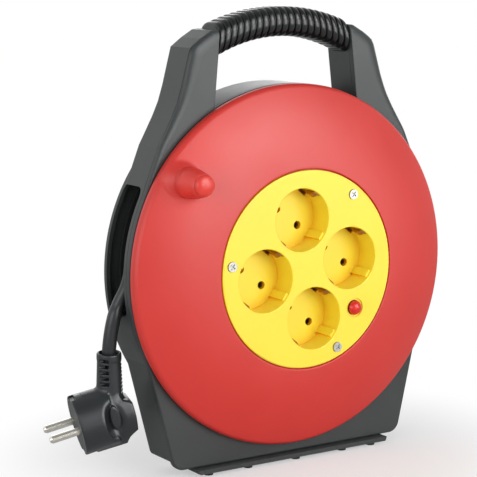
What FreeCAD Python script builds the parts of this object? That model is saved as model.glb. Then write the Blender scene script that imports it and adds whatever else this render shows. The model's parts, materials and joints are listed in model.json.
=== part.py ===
# Cord reel with four earthed sockets: a two-shell housing with a carrying grip, a drum that
# turns on a fixed spindle, a socket plate with its contacts, a wound cord and a plug.
# Millimetres. X to the right, Y to the rear, Z up. Origin: floor level, below the drum axis,
# at the middle of the base.
import FreeCAD, Part
import Sketcher
import math
import os

V = FreeCAD.Vector
Placement = FreeCAD.Placement
Rotation = FreeCAD.Rotation
doc = FreeCAD.newDocument("cord_reel")

# ---------------------------------------------------------------------------------------------
# Driving dimensions. Names in _front, _rear, _back, _face and _floor are depths along Y.
# ---------------------------------------------------------------------------------------------
CELLS = [
    # housing
    ("axis_height", 126.2), ("front_face", -15.0), ("parting", -11.0), ("wall", 2.5),
    ("case_radius", 114.5), ("case_rear", 19.0), ("base_rear", 15.5), ("post_rear", 13.5),
    ("base_half_front", 85.1), ("base_bottom_front", 5.0), ("base_half_rear", 86.0),
    ("base_bottom_rear", 9.5), ("flare_half", 101.8), ("flare_height", 73.7),
    ("opening_radius", 104.6), ("slot_front", -8.0), ("slot_rear", 14.0),
    ("slot_bottom", 104.5), ("slot_top", 182.7), ("slot_corner", 4.0),
    ("spindle_radius", 9.0), ("spindle_front", 2.5), ("spindle_bore", 2.55),
    ("pillar_radius", 4.2), ("pillar_bore", 1.85), ("pillar_sink", 3.7),
    # handle
    ("grip_arc_radius", 116.2), ("grip_arc_height", 162.4), ("grip_mid", -1.0),
    ("grip_height", 18.6), ("grip_depth", 26.0), ("groove_depth", 1.3),
    ("core_height", 8.6), ("core_depth", 18.0), ("grip_half_angle", 24.55),
    ("ring_count", 21.0), ("ring_angle", 2.33), ("ring_width", 1.62),
    # foot
    ("foot_half", 71.0), ("foot_front", -21.5), ("foot_rear", 13.5), ("foot_low", 2.0),
    ("foot_top", 4.8), ("pad_radius", 4.0),
    # drum
    ("disc_radius", 114.5), ("disc_back", -16.0), ("plate_radius", 62.2),
    ("plate_front", -37.2), ("plate_thick", 2.5), ("recess_radius", 62.9),
    ("collar_radius", 65.3), ("web_front", -12.8), ("web_back", -11.2), ("web_radius", 103.0),
    ("barrel_radius", 62.8), ("barrel_inner", 60.3), ("flange_front", 13.4),
    ("flange_back", 15.2), ("flange_radius", 105.0), ("core_web_front", 4.0),
    ("core_web_back", 6.5), ("hub_outer", 13.5), ("hub_inner", 10.4), ("hub_front", 3.0),
    ("hub_back", 13.3), ("bush_inner", 9.05),
    # sockets
    ("well_radius", 19.75), ("well_outer", 21.6), ("well_floor", -19.7), ("well_back", -16.7),
    ("socket_offset", 22.37), ("pin_offset", 9.5), ("pin_hole", 2.6), ("plate_turn", 37.56),
    ("plate_screw_circle", 56.0), ("button_circle", 44.9), ("button_drop", -0.9),
    # knob
    ("knob_circle", 100.0), ("knob_turn", 143.2), ("knob_base", 9.0), ("knob_end", 7.2),
    ("knob_foot", -32.0), ("knob_bore", 3.06), ("pin_radius", 3.0),
    # cord and plug
    ("cord_radius", 4.0), ("lane_front", -7.0), ("lane_pitch", 8.1), ("layer_first", 67.0),
    ("layer_pitch", 8.1), ("plug_pin_radius", 2.4), ("plug_radius", 18.9),
]
sheet = doc.addObject("Spreadsheet::Sheet", "dims")
for row, (alias, value) in enumerate(CELLS, 1):
    sheet.set("A%d" % row, alias)
    sheet.set("B%d" % row, repr(float(value)))
    sheet.setAlias("B%d" % row, alias)
doc.recompute()


class Size:
    """A number together with the sheet expression it comes from."""

    def __init__(self, expr, value):
        self.expr = expr
        self.value = float(value)

    @staticmethod
    def of(x):
        return x if isinstance(x, Size) else Size("%.6f" % x, x)

    def __add__(self, other):
        other = Size.of(other)
        return Size("(%s + %s)" % (self.expr, other.expr), self.value + other.value)

    def __sub__(self, other):
        other = Size.of(other)
        return Size("(%s - %s)" % (self.expr, other.expr), self.value - other.value)

    def __truediv__(self, other):
        other = Size.of(other)
        return Size("(%s / %s)" % (self.expr, other.expr), self.value / other.value)

    def __neg__(self):
        return Size("(0 - %s)" % self.expr, -self.value)


class Dims:
    """The cells of the sheet as Size attributes."""

    def __init__(self, cells):
        for name, value in cells:
            setattr(self, name, Size("dims." + name, value))


dim = Dims(CELLS)


def num(x):
    return x.value if isinstance(x, Size) else float(x)


def assign(obj, prop, size):
    """Set a property, and bind it to the sheet when the size comes from there."""
    setattr(obj, prop, num(size))
    if isinstance(size, Size):
        obj.setExpression(prop, size.expr)


def place(obj, x, y, z, turn):
    obj.Placement = Placement(V(num(x), num(y), num(z)), turn)
    for axis, value in zip("xyz", (x, y, z)):
        if isinstance(value, Size):
            obj.setExpression("Placement.Base." + axis, value.expr)


PIECES = []


def piece(obj):
    """Register an object for export under its Label."""
    PIECES.append(obj)
    return obj


# ---------------------------------------------------------------------------------------------
# Sketch helpers
# ---------------------------------------------------------------------------------------------
def pin_point(sketch, geo, pos, x, y):
    """Fix a point from the sketch origin, or on an axis when its coordinate is zero."""
    for kind, value, axis in (("DistanceX", x, -2), ("DistanceY", y, -1)):
        if abs(num(value)) < 1e-9 and not isinstance(value, Size):
            sketch.addConstraint(Sketcher.Constraint("PointOnObject", geo, pos, axis))
            continue
        index = sketch.addConstraint(
            Sketcher.Constraint(kind, -1, 1, geo, pos, num(value)))
        if isinstance(value, Size):
            sketch.setExpression("Constraints[%d]" % index, value.expr)


def draw_outline(sketch, points):
    """Closed outline. Each item is (x, y) for a line to the next vertex, or
    (x, y, (arc_x, arc_y)) for an arc to it through the given point."""
    count = len(points)
    sides = []
    for k, point in enumerate(points):
        following = points[(k + 1) % count]
        start = V(num(point[0]), num(point[1]), 0)
        stop = V(num(following[0]), num(following[1]), 0)
        is_arc = len(point) == 3
        if is_arc:
            curve = Part.Arc(start, V(num(point[2][0]), num(point[2][1]), 0), stop)
        else:
            curve = Part.LineSegment(start, stop)
        geo = sketch.addGeometry(curve, False)
        # the sketch may store an arc end for end
        flipped = is_arc and (sketch.getPoint(geo, 1) - start).Length >= 1e-6
        first, last = (2, 1) if flipped else (1, 2)
        sides.append((geo, first, last, is_arc))
    for k, (geo, first, last, is_arc) in enumerate(sides):
        next_geo, next_first = sides[(k + 1) % count][:2]
        sketch.addConstraint(
            Sketcher.Constraint("Coincident", geo, last, next_geo, next_first))
    for point, (geo, first, last, is_arc) in zip(points, sides):
        pin_point(sketch, geo, first, point[0], point[1])
        if is_arc:
            radius = sketch.Geometry[geo].Radius
            sketch.addConstraint(Sketcher.Constraint("Radius", geo, radius))


def draw_circle(sketch, x, y, radius):
    circle = Part.Circle(V(num(x), num(y), 0), V(0, 0, 1), num(radius))
    geo = sketch.addGeometry(circle, False)
    pin_point(sketch, geo, 3, x, y)
    index = sketch.addConstraint(Sketcher.Constraint("Radius", geo, num(radius)))
    if isinstance(radius, Size):
        sketch.setExpression("Constraints[%d]" % index, radius.expr)


def rect(x0, y0, x1, y1):
    return [(x0, y0), (x1, y0), (x1, y1), (x0, y1)]


def circles_at(spots, radius):
    return [(x, z, radius) for x, z in spots]


def mirror(points):
    return [(-x, z) for x, z in reversed(points)]


def polar(radius, degrees):
    angle = math.radians(degrees)
    return (num(radius) * math.cos(angle), num(radius) * math.sin(angle))


# ---------------------------------------------------------------------------------------------
# PartDesign body
# ---------------------------------------------------------------------------------------------
class Body:
    """A body whose features are sketched, for the most part, in planes across Y."""

    def __init__(self, name):
        self.name = name
        self.body = doc.addObject("PartDesign::Body", name)
        self.count = 0

    def add(self, kind, suffix):
        self.count += 1
        return self.body.newObject(kind, "%s_%s%d" % (self.name, suffix, self.count))

    def finish(self, feature):
        doc.recompute()
        shape = feature.Shape
        failed = "Invalid" in feature.State or "Error" in feature.State
        if failed or shape.isNull() or not shape.isValid():
            raise RuntimeError("%s failed %s" % (feature.Name, feature.State))
        return feature

    def sketch(self, role, offset=0.0, outlines=(), circles=()):
        """Sketch in an origin plane, moved by offset along the plane's normal."""
        sketch = self.add("Sketcher::SketchObject", "sk")
        support = [f for f in self.body.Origin.OriginFeatures if f.Role == role][0]
        sketch.AttachmentSupport = [(support, "")]
        sketch.MapMode = "FlatFace"
        sketch.AttachmentOffset = Placement(V(0, 0, num(offset)), Rotation())
        if isinstance(offset, Size):
            sketch.setExpression("AttachmentOffset.Base.z", offset.expr)
        for outline in outlines:
            draw_outline(sketch, outline)
        for circle in circles:
            draw_circle(sketch, *circle)
        return sketch

    def sketch_at(self, y, outlines, circles):
        """Sketch at depth y: local x is X, local y is Z, the normal points to -Y."""
        return self.sketch("XZ_Plane", -y, outlines, circles)

    def pad(self, y, length, outlines=(), circles=()):
        """Pad from depth y towards +Y."""
        sketch = self.sketch_at(y, outlines, circles)
        pad = self.add("PartDesign::Pad", "pad")
        pad.Profile = sketch
        assign(pad, "Length", length)
        pad.Reversed = True
        return self.finish(pad)

    def bosses(self, y, length, spots, radius):
        """One round pad at each spot."""
        for x, z in spots:
            self.pad(y, length, circles=[(x, z, radius)])

    def pocket(self, y, length, outlines=(), circles=()):
        """Pocket from depth y towards +Y."""
        return self.pocket_sketch(self.sketch_at(y, outlines, circles), length)

    def pocket_sketch(self, sketch, length, along_normal=False):
        before = self.body.Shape.Volume
        pocket = self.add("PartDesign::Pocket", "cut")
        pocket.Profile = sketch
        assign(pocket, "Length", length)
        pocket.Reversed = along_normal
        self.finish(pocket)
        if not self.body.Shape.Volume < before - 1e-3:
            raise RuntimeError("%s removes nothing" % pocket.Name)
        return pocket

    def revolve(self, outline, angle=360.0, kind="Revolution"):
        """Turn an outline about Y. Its points are (radius, depth)."""
        sketch = self.sketch("XY_Plane", outlines=[outline])
        turned = self.add("PartDesign::" + kind, "rev")
        turned.Profile = sketch
        turned.ReferenceAxis = (sketch, ["V_Axis"])
        turned.Angle = angle
        return self.finish(turned)

    def dress(self, kind, picks, size):
        """Fillet or chamfer on the edges that the test picks."""
        tip = self.body.Tip
        names = ["Edge%d" % i for i, edge in enumerate(tip.Shape.Edges, 1) if picks(edge)]
        if not names:
            raise RuntimeError("no edges for %s of %s" % (kind, self.name))
        feature = self.add("PartDesign::" + kind, kind)
        feature.Base = (tip, names)
        assign(feature, "Radius" if kind == "Fillet" else "Size", size)
        return self.finish(feature)


def turned_body(name, outline):
    body = Body(name)
    body.revolve(outline)
    return body.body


def side_corners(half_width, z, tolerance=0.6):
    """Test for the edges that run along Y at x = +-half_width and the given height."""
    half_width, z = num(half_width), num(z)

    def test(edge):
        a, b = edge.Vertexes[0].Point, edge.Vertexes[-1].Point
        near = all(abs(abs(p.x) - half_width) < tolerance and abs(p.z - z) < tolerance
                   for p in (a, b))
        return near and abs(a.y - b.y) > 0.5
    return test


def lies_at(edge, y):
    """True for an edge in the plane at depth y."""
    return abs(edge.CenterOfMass.y - num(y)) < 1e-3 and edge.BoundBox.YLength < 1e-3


# ---------------------------------------------------------------------------------------------
# Part helpers
# ---------------------------------------------------------------------------------------------
# directions of a cylinder's or cone's axis
ALONG_X = Rotation(V(0, 1, 0), 90)
AGAINST_X = Rotation(V(0, 1, 0), -90)
ALONG_Y = Rotation(V(1, 0, 0), -90)
ALONG_Z = Rotation()


def cylinder(name, radius, length, x, y, z, turn=ALONG_Y):
    """Cylinder that starts at (x, y, z)."""
    obj = doc.addObject("Part::Cylinder", name)
    assign(obj, "Radius", radius)
    assign(obj, "Height", length)
    place(obj, x, y, z, turn)
    return obj


def cone(name, start_radius, end_radius, length, x, y, z, turn):
    obj = doc.addObject("Part::Cone", name)
    assign(obj, "Radius1", start_radius)
    assign(obj, "Radius2", end_radius)
    assign(obj, "Height", length)
    place(obj, x, y, z, turn)
    return obj


def block(name, x0, x1, y0, y1, z0, z1):
    obj = doc.addObject("Part::Box", name)
    for prop, low, high in (("Length", x0, x1), ("Width", y0, y1), ("Height", z0, z1)):
        bound = isinstance(low, Size) or isinstance(high, Size)
        assign(obj, prop, Size.of(high) - low if bound else high - low)
    place(obj, x0, y0, z0, Rotation())
    return obj


def fuse(name, items):
    obj = doc.addObject("Part::MultiFuse", name)
    obj.Shapes = items
    obj.Refine = True
    return obj


def cut(name, base, tool):
    obj = doc.addObject("Part::Cut", name)
    obj.Base = base
    obj.Tool = tool
    obj.Refine = True
    return obj


def common(name, base, tool):
    obj = doc.addObject("Part::Common", name)
    obj.Base = base
    obj.Tool = tool
    return obj


def group(name, items):
    obj = doc.addObject("Part::Compound", name)
    obj.Links = items
    return obj


def feature(name, shape, placement=None):
    obj = doc.addObject("Part::Feature", name)
    obj.Shape = shape
    if placement is not None:
        obj.Placement = placement
    return obj


def screw(name, x, z, span, head, shank_radius):
    """Cross-recessed screw along Y. span is (outer face of the head, end of the shank),
    head is (radius, height)."""
    face, end = span
    head_radius, head_height = head
    way = 1 if end > face else -1
    solid = fuse(name + "_f", [
        cylinder(name + "_h", head_radius, head_height,
                 x, min(face, face + way * head_height), z),
        cylinder(name + "_s", shank_radius, abs(end - face) - 0.2,
                 x, min(face + way * 0.2, end), z)])
    y0, y1 = sorted((face - way * 0.5, face + way * head_height * 0.55))
    long, thin = head_radius * 0.62, head_radius * 0.13
    recess = fuse(name + "_x", [
        block(name + "_a", x - long, x + long, y0, y1, z - thin, z + thin),
        block(name + "_b", x - thin, x + thin, y0, y1, z - long, z + long)])
    return cut(name, solid, recess)


def screws(name, spots, span, head, shank_radius):
    return group(name, [screw("%s_%d" % (name, k), x, z, span, head, shank_radius)
                        for k, (x, z) in enumerate(spots)])


# ---------------------------------------------------------------------------------------------
# Housing
# ---------------------------------------------------------------------------------------------
# (x, z) of the screws that join the shells
CASE_SCREWS = [(-61.0, 248.0), (61.0, 248.0), (-71.0, 225.0), (71.0, 225.0),
               (-79.0, 22.5), (79.0, 22.5)]
# (x, y) of the screws that hold the foot rail
FOOT_SCREWS = [(-50.0, 3.0), (50.0, 3.0)]

# (x, z) outline of the right handle post, and of the hollow inside it
POST = [
    (56.0, 196.0), (47.9, 275.4), (52.2, 274.9), (60.0, 270.4), (67.5, 265.0), (70.7, 253.5),
    (73.7, 242.5), (77.2, 232.0), (81.3, 223.4), (86.2, 214.6), (91.0, 206.2), (94.0, 198.8),
    (106.2, 168.3), (85.0, 160.0),
]
POST_HOLLOW = [
    (58.9, 197.0), (50.9, 272.7), (58.4, 268.3), (65.2, 263.2), (68.1, 252.8), (71.1, 241.7),
    (74.7, 231.0), (78.9, 222.2), (83.8, 213.3), (88.4, 205.0), (91.3, 197.7), (103.4, 168.5),
    (85.0, 160.0),
]


def base_outline(half_width, bottom, flare_half):
    return [(-half_width, bottom), (half_width, bottom),
            (flare_half, dim.flare_height), (-flare_half, dim.flare_height)]


def base_hollow(half_width, bottom):
    return base_outline(half_width - 3.0, bottom + dim.wall, dim.flare_half - 3.2)


def axis_circle(radius):
    return (0, dim.axis_height, radius)


def make_front_housing():
    shell = Body("front_housing")
    front = dim.front_face
    half, bottom = dim.base_half_front, dim.base_bottom_front
    depth = dim.parting - front
    shell.pad(front, depth, [base_outline(half, bottom, dim.flare_half)])
    shell.dress("Fillet", side_corners(half, bottom), 8.0)
    shell.pad(front, depth, circles=[axis_circle(dim.case_radius)])
    for post in (POST, mirror(POST)):
        shell.pad(front, depth, [post])

    # broad chamfer along the top of each post, on the front edge
    def post_top(edge):
        middle = edge.CenterOfMass
        return lies_at(edge, front) and middle.z > 262 and abs(middle.x) > 50
    shell.dress("Chamfer", post_top, 2.4)

    # hollow behind the front wall, then the round opening through it
    inside = front + dim.wall
    hollow = depth - dim.wall
    shell.pocket(inside, hollow, [base_hollow(half, bottom)])
    shell.pocket(inside, hollow, circles=[axis_circle(dim.case_radius - dim.wall)])
    for post in (POST_HOLLOW, mirror(POST_HOLLOW)):
        shell.pocket(inside, hollow, [post])
    shell.pocket(front, dim.wall + 0.5, circles=[axis_circle(dim.opening_radius)])

    # screw bosses on the back of the front wall
    shell.bosses(inside - 0.5, 14.5, CASE_SCREWS, dim.pillar_radius - 0.7)
    shell.pocket(inside, 20.0, circles=circles_at(CASE_SCREWS, dim.pillar_bore))
    piece(shell.body)


def make_rear_housing():
    """Deep tray with the drum chamber wall, the spindle and the screw pillars."""
    shell = Body("rear_housing")
    parting, wall = dim.parting, dim.wall
    half, bottom = dim.base_half_rear, dim.base_bottom_rear
    shell.pad(parting, dim.base_rear - parting, [base_outline(half, bottom, dim.flare_half)])
    shell.dress("Fillet", side_corners(half, bottom), 3.5)

    # rounded rear edges of the base, the posts and the round case
    def base_edge(edge):
        return lies_at(edge, dim.base_rear) and edge.CenterOfMass.z < 60

    def post_edge(edge):
        middle = edge.CenterOfMass
        return lies_at(edge, dim.post_rear) and (middle.z > 200 or abs(middle.x) > 88)

    shell.dress("Fillet", base_edge, 1.8)
    for post in (POST, mirror(POST)):
        shell.pad(parting, dim.post_rear - parting, [post])
    shell.dress("Fillet", post_edge, 1.8)
    shell.pad(parting, dim.case_rear - parting, circles=[axis_circle(dim.case_radius)])
    shell.dress("Fillet", lambda edge: lies_at(edge, dim.case_rear), 2.6)

    # hollow: base, posts, drum chamber
    shell.pocket(parting, dim.base_rear - parting - wall, [base_hollow(half, bottom)])
    for post in (POST_HOLLOW, mirror(POST_HOLLOW)):
        shell.pocket(parting, dim.post_rear - parting - wall, [post])
    chamber = axis_circle(dim.case_radius - wall)
    shell.pocket(parting, dim.case_rear - parting - wall, circles=[chamber])

    # drum chamber wall
    shell.pad(parting, dim.post_rear - parting - 1.0,
              circles=[axis_circle(dim.case_radius), chamber])

    # spindle with a thrust collar
    shell.pad(dim.spindle_front, dim.case_rear - wall - dim.spindle_front + 0.5,
              circles=[axis_circle(dim.spindle_radius)])
    shell.pad(14.6, 2.4, circles=[axis_circle(15.0)])
    shell.pocket(0.0, 16.0, circles=[axis_circle(dim.spindle_bore)])

    # screw pillars, counterbored from the rear; the lower two are longer
    for x, z in CASE_SCREWS:
        length = 9.3 if z > 100 else 11.3
        shell.pad(2.2, length, circles=[(x, z, dim.pillar_radius + 0.6)])
    shell.pocket(0.0, 12.0, circles=circles_at(CASE_SCREWS, dim.pillar_bore + 0.15))
    shell.pocket(5.2, 14.0, circles=circles_at(CASE_SCREWS, dim.pillar_sink))

    # cord slot in the left side of the drum chamber
    slot = rect(dim.slot_front, dim.slot_bottom, dim.slot_rear, dim.slot_top)
    shell.pocket_sketch(shell.sketch("YZ_Plane", -80.0, [slot]), 45.0)

    def slot_edge(edge):
        a, b = edge.Vertexes[0].Point, edge.Vertexes[-1].Point
        along_x = abs(a.y - b.y) < 1e-3 and abs(a.z - b.z) < 1e-3
        at_depth = any(abs(a.y - num(y)) < 1e-3 for y in (dim.slot_front, dim.slot_rear))
        at_height = any(abs(a.z - num(z)) < 1e-3 for z in (dim.slot_bottom, dim.slot_top))
        return along_x and a.x < -95 and b.x < -95 and at_depth and at_height
    shell.dress("Fillet", slot_edge, dim.slot_corner)

    # windows in the posts for the ends of the handle bar
    half_depth = dim.core_depth / 2
    window = rect(dim.grip_mid - half_depth - 0.25, 260.9,
                  dim.grip_mid + half_depth + 0.25, 273.4)
    for left_end in (46.0, -54.6):
        shell.pocket_sketch(shell.sketch("YZ_Plane", left_end, [window]), 8.6,
                            along_normal=True)

    # pilot holes for the foot rail's screws
    pilots = shell.sketch("XY_Plane", 9.0, circles=circles_at(FOOT_SCREWS, 1.65))
    shell.pocket_sketch(pilots, 4.0, along_normal=True)
    piece(shell.body)


# ---------------------------------------------------------------------------------------------
# Handle: bar held in the posts, ribbed sleeve over it
# ---------------------------------------------------------------------------------------------
GRIP_HALF_ANGLE = num(dim.grip_half_angle)
CORE_HALF_ANGLE = GRIP_HALF_ANGLE + 3.8


def oval(half_height, half_depth, corner):
    """Rounded section of the handle: x = radius from the arc's centre, y = depth."""
    middle, depth = num(dim.grip_arc_radius), num(dim.grip_mid)
    low, high = middle - half_height, middle + half_height
    front, rear = depth - half_depth, depth + half_depth
    bulge = corner * (1 - math.sqrt(0.5))
    return [
        (low + corner, front),
        (high - corner, front, (high - bulge, front + bulge)),
        (high, front + corner),
        (high, rear - corner, (high - bulge, rear - bulge)),
        (high - corner, rear),
        (low + corner, rear, (low + bulge, rear - bulge)),
        (low, rear - corner),
        (low, front + corner, (low + bulge, front + bulge))]


def centre_on_top(body, half_angle):
    """Turn a sweep so that it is symmetric about the top of the arc."""
    place(body, 0, 0, dim.grip_arc_height, Rotation(V(0, 1, 0), -90.0 - half_angle))


def make_handle_sleeve():
    height, depth = num(dim.grip_height) / 2, num(dim.grip_depth) / 2
    core_height, core_depth = num(dim.core_height) / 2, num(dim.core_depth) / 2
    groove = num(dim.groove_depth)
    angle = 2 * GRIP_HALF_ANGLE
    sleeve = Body("handle_grip_sleeve_sweep")
    sleeve.revolve(oval(height - groove, depth - groove, 7.2), angle)
    sleeve.revolve(oval(core_height + 0.05, core_depth + 0.05, 3.0), angle, "Groove")

    # one raised ring, repeated along the arc
    count, width = int(num(dim.ring_count)), num(dim.ring_width)
    rings_angle = num(dim.ring_angle) * (count - 1)
    ring_start = GRIP_HALF_ANGLE - (rings_angle + width) / 2
    sketch = sleeve.sketch("XY_Plane", outlines=[
        oval(height, depth, 8.6), oval(core_height + 0.4, core_depth + 0.4, 3.2)])
    sketch.AttachmentOffset = Placement(V(0, 0, 0), Rotation(V(0, 1, 0), ring_start))
    ring = sleeve.add("PartDesign::Revolution", "ring")
    ring.Profile = sketch
    ring.ReferenceAxis = (sketch, ["V_Axis"])
    assign(ring, "Angle", dim.ring_width)
    doc.recompute()
    rings = sleeve.add("PartDesign::PolarPattern", "rings")
    rings.Originals = [ring]
    rings.Axis = (sketch, ["V_Axis"])
    rings.Angle = rings_angle
    rings.Occurrences = count
    sleeve.body.Tip = rings
    doc.recompute()
    centre_on_top(sleeve.body, GRIP_HALF_ANGLE)

    # upright ends, between the posts
    trim = block("grip_trim", -47.75, 47.75, -20.0, 20.0, 240.0, 300.0)
    piece(common("handle_grip_sleeve", sleeve.body, trim))


def make_handle_core():
    core = Body("handle_core")
    core.revolve(oval(num(dim.core_height) / 2, num(dim.core_depth) / 2, 2.9),
                 2 * CORE_HALF_ANGLE)
    centre_on_top(core.body, CORE_HALF_ANGLE)
    piece(core.body)


# ---------------------------------------------------------------------------------------------
# Foot rail under the shells, with its pads and screws
# ---------------------------------------------------------------------------------------------
# (x, y) of the pads; those in the front row are smaller
FOOT_PADS = [(-62.0, -16.5), (-33.0, -16.5), (3.0, -16.5), (39.0, -16.5), (62.0, -16.5),
             (-60.0, 8.5), (60.0, 8.5), (0.0, 0.0)]


def make_foot():
    foot = Body("base_foot")
    half, low = dim.foot_half, dim.foot_low
    foot.pad(dim.foot_front, dim.foot_rear - dim.foot_front, [[
        (-half, low), (half, low), (half + 1.0, dim.foot_top), (-half - 1.0, dim.foot_top)]])
    # raised part under the rear shell
    foot.pad(dim.parting + 0.4, dim.foot_rear - dim.parting - 0.4, [
        rect(-half + 2.0, low + 1.0, half - 2.0, dim.base_bottom_rear - 0.1)])
    foot.dress("Fillet", side_corners(half, low), 1.2)
    # screw holes and their counterbores, from below
    for radius, depth in ((1.9, 15.0), (3.8, 5.5)):
        holes = foot.sketch("XY_Plane", circles=circles_at(FOOT_SCREWS, radius))
        foot.pocket_sketch(holes, depth, along_normal=True)
    piece(foot.body)


def make_foot_fittings():
    pads = []
    for k, (x, y) in enumerate(FOOT_PADS):
        radius = dim.pad_radius - 1.2 if y < 0 else dim.pad_radius
        pads.append(cylinder("foot_pad_%d" % k, radius, dim.foot_low, x, y, 0.0, ALONG_Z))
    piece(group("foot_pads", pads))
    # built along Y, then turned so that Y becomes Z and -Z becomes Y
    upward = screws("foot_screws", [(x, -y) for x, y in FOOT_SCREWS],
                    span=(3.4, 11.9), head=(3.3, 2.0), shank_radius=1.6)
    upward.Placement = Placement(V(0, 0, 0), Rotation(V(1, 0, 0), 90))
    piece(upward)


def make_housing_screws():
    piece(screws("housing_screws", CASE_SCREWS,
                 span=(7.3, -9.5), head=(3.2, 2.0), shank_radius=1.6))


# ---------------------------------------------------------------------------------------------
# Drum: modelled about its own axis, then raised to the axis height. Most of it is turned with
# the socket plate.
# ---------------------------------------------------------------------------------------------
AXIS_POINT = V(0, 0, num(dim.axis_height))
RAISED = Placement(AXIS_POINT, Rotation())
TURNED = Placement(AXIS_POINT, Rotation(V(0, 1, 0), num(dim.plate_turn)))

# (x, z) in the drum's frame
JOIN_ANGLES = (45.0, 135.0, 225.0, 315.0)
JOIN_SCREWS = [polar(57.2, angle) for angle in JOIN_ANGLES]
PLATE_SCREWS = [polar(dim.plate_screw_circle, angle) for angle in (90.0, 210.0, 330.0)]
CARRIER_SCREWS = [(0.0, 46.0), (0.0, -46.0), (-46.0, 0.0)]
KNOB_X, KNOB_Z = polar(dim.knob_circle, num(dim.knob_turn) + num(dim.plate_turn))
OFFSET = dim.socket_offset
WELLS = [(OFFSET, OFFSET), (-OFFSET, OFFSET), (-OFFSET, -OFFSET), (OFFSET, -OFFSET)]


def drum_piece(obj, placement=TURNED):
    obj.Placement = placement
    obj.setExpression("Placement.Base.z", dim.axis_height.expr)
    return piece(obj)


def make_front_disc():
    """Domed flange, recess for the socket plate, collar and web."""
    disc = Body("drum_front_disc")
    front, recess, rim = dim.plate_front, dim.recess_radius, dim.disc_radius
    disc.revolve([
        (recess, front + 0.9, (63.05, -36.65)),
        (recess + 0.5, front + 0.4, (89.6, -31.9)),
        (rim - 2.2, -22.6, (114.1, -20.4)),
        (rim, dim.disc_back - 1.6),
        (rim - 0.4, dim.disc_back),
        (rim - 2.6, dim.disc_back),
        (rim - 3.6, -19.6, (89.0, -29.4)),
        (dim.collar_radius, front + 4.0),
        (dim.collar_radius, dim.web_front),
        (dim.web_radius, dim.web_front),
        (dim.web_radius, dim.web_back),
        (recess, dim.web_back),
        (recess, front + 4.8),
        (recess - 3.4, front + 4.8),
        (recess - 3.4, front + 2.7),
        (recess, front + 2.7)])
    disc.bosses(front + 2.7, 10.0, PLATE_SCREWS, 4.3)
    # join bosses, and smaller round bosses between them and the collar
    disc.bosses(front + 6.0, dim.web_back - front - 6.2, JOIN_SCREWS, 3.4)
    disc.bosses(front + 4.2, dim.web_back - front - 4.4,
                [polar(61.6, angle) for angle in JOIN_ANGLES], 2.6)
    disc.pocket(front, 11.0, circles=circles_at(PLATE_SCREWS, 1.45))
    disc.pocket(-24.0, 20.0, circles=circles_at(JOIN_SCREWS, 1.45))
    # boss and hole for the crank knob's pin
    disc.pad(-31.7, 7.5, circles=[(KNOB_X, KNOB_Z, 9.4)])
    disc.pocket(-40.0, 30.0, circles=[(KNOB_X, KNOB_Z, dim.pin_radius + 0.02)])
    drum_piece(disc.body)


def make_drum_core_blank():
    """Barrel, rear flange, web and hub, still without the passage for the cord."""
    core = Body("drum_core_blank")
    barrel_front = dim.web_back + 0.1
    core.revolve([
        (dim.barrel_inner, barrel_front), (dim.barrel_radius, barrel_front),
        (dim.barrel_radius, dim.flange_front), (dim.flange_radius, dim.flange_front),
        (dim.flange_radius, dim.flange_back), (dim.barrel_inner, dim.flange_back),
        (dim.barrel_inner, dim.core_web_back), (dim.hub_outer, dim.core_web_back),
        (dim.hub_outer, dim.hub_back), (dim.hub_inner, dim.hub_back),
        (dim.hub_inner, dim.hub_front), (dim.hub_outer, dim.hub_front),
        (dim.hub_outer, dim.core_web_front), (dim.barrel_inner, dim.core_web_front)])
    core.bosses(barrel_front, dim.core_web_front - dim.web_back + 0.4, JOIN_SCREWS, 3.6)
    core.pocket(dim.web_back - 1.0, 20.0, circles=circles_at(JOIN_SCREWS, 1.75))
    core.pocket(1.0, 8.0, circles=circles_at(JOIN_SCREWS, 3.3))
    # radial ribs behind the web
    ribs = []
    for degrees in (15.0, 75.0, 165.0, 255.0, 345.0, 195.0):
        cosine, sine = polar(1.0, degrees)
        ribs.append([(x * cosine - z * sine, x * sine + z * cosine)
                     for x, z in rect(13.0, -0.9, 60.8, 0.9)])
    core.pad(dim.core_web_back - 0.3, 4.0, ribs)
    return core.body


def make_bearing():
    """Bush, washer and screw of the drum bearing."""
    collar_front = dim.hub_back + 0.05
    drum_piece(turned_body("hub_bush", [
        (dim.bush_inner, dim.hub_front + 0.2), (dim.hub_inner, dim.hub_front + 0.2),
        (dim.hub_inner, collar_front), (13.0, collar_front), (13.0, 14.3),
        (dim.bush_inner, 14.3)]), RAISED)
    drum_piece(turned_body("spindle_washer", rect(2.8, 1.0, 12.6, 2.5)), RAISED)
    bolt = Body("spindle_screw")
    bolt.revolve([(0.0, -2.2), (3.4, -2.0), (4.6, -0.6), (4.6, 0.98), (2.5, 0.98),
                  (2.5, 13.6), (1.6, 14.8), (0.0, 14.8)])
    for half_x, half_z in ((3.0, 0.55), (0.55, 3.0)):
        bolt.pocket(-3.0, 2.4, [rect(-half_x, -half_z, half_x, half_z)])
    drum_piece(bolt.body, RAISED)


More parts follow.
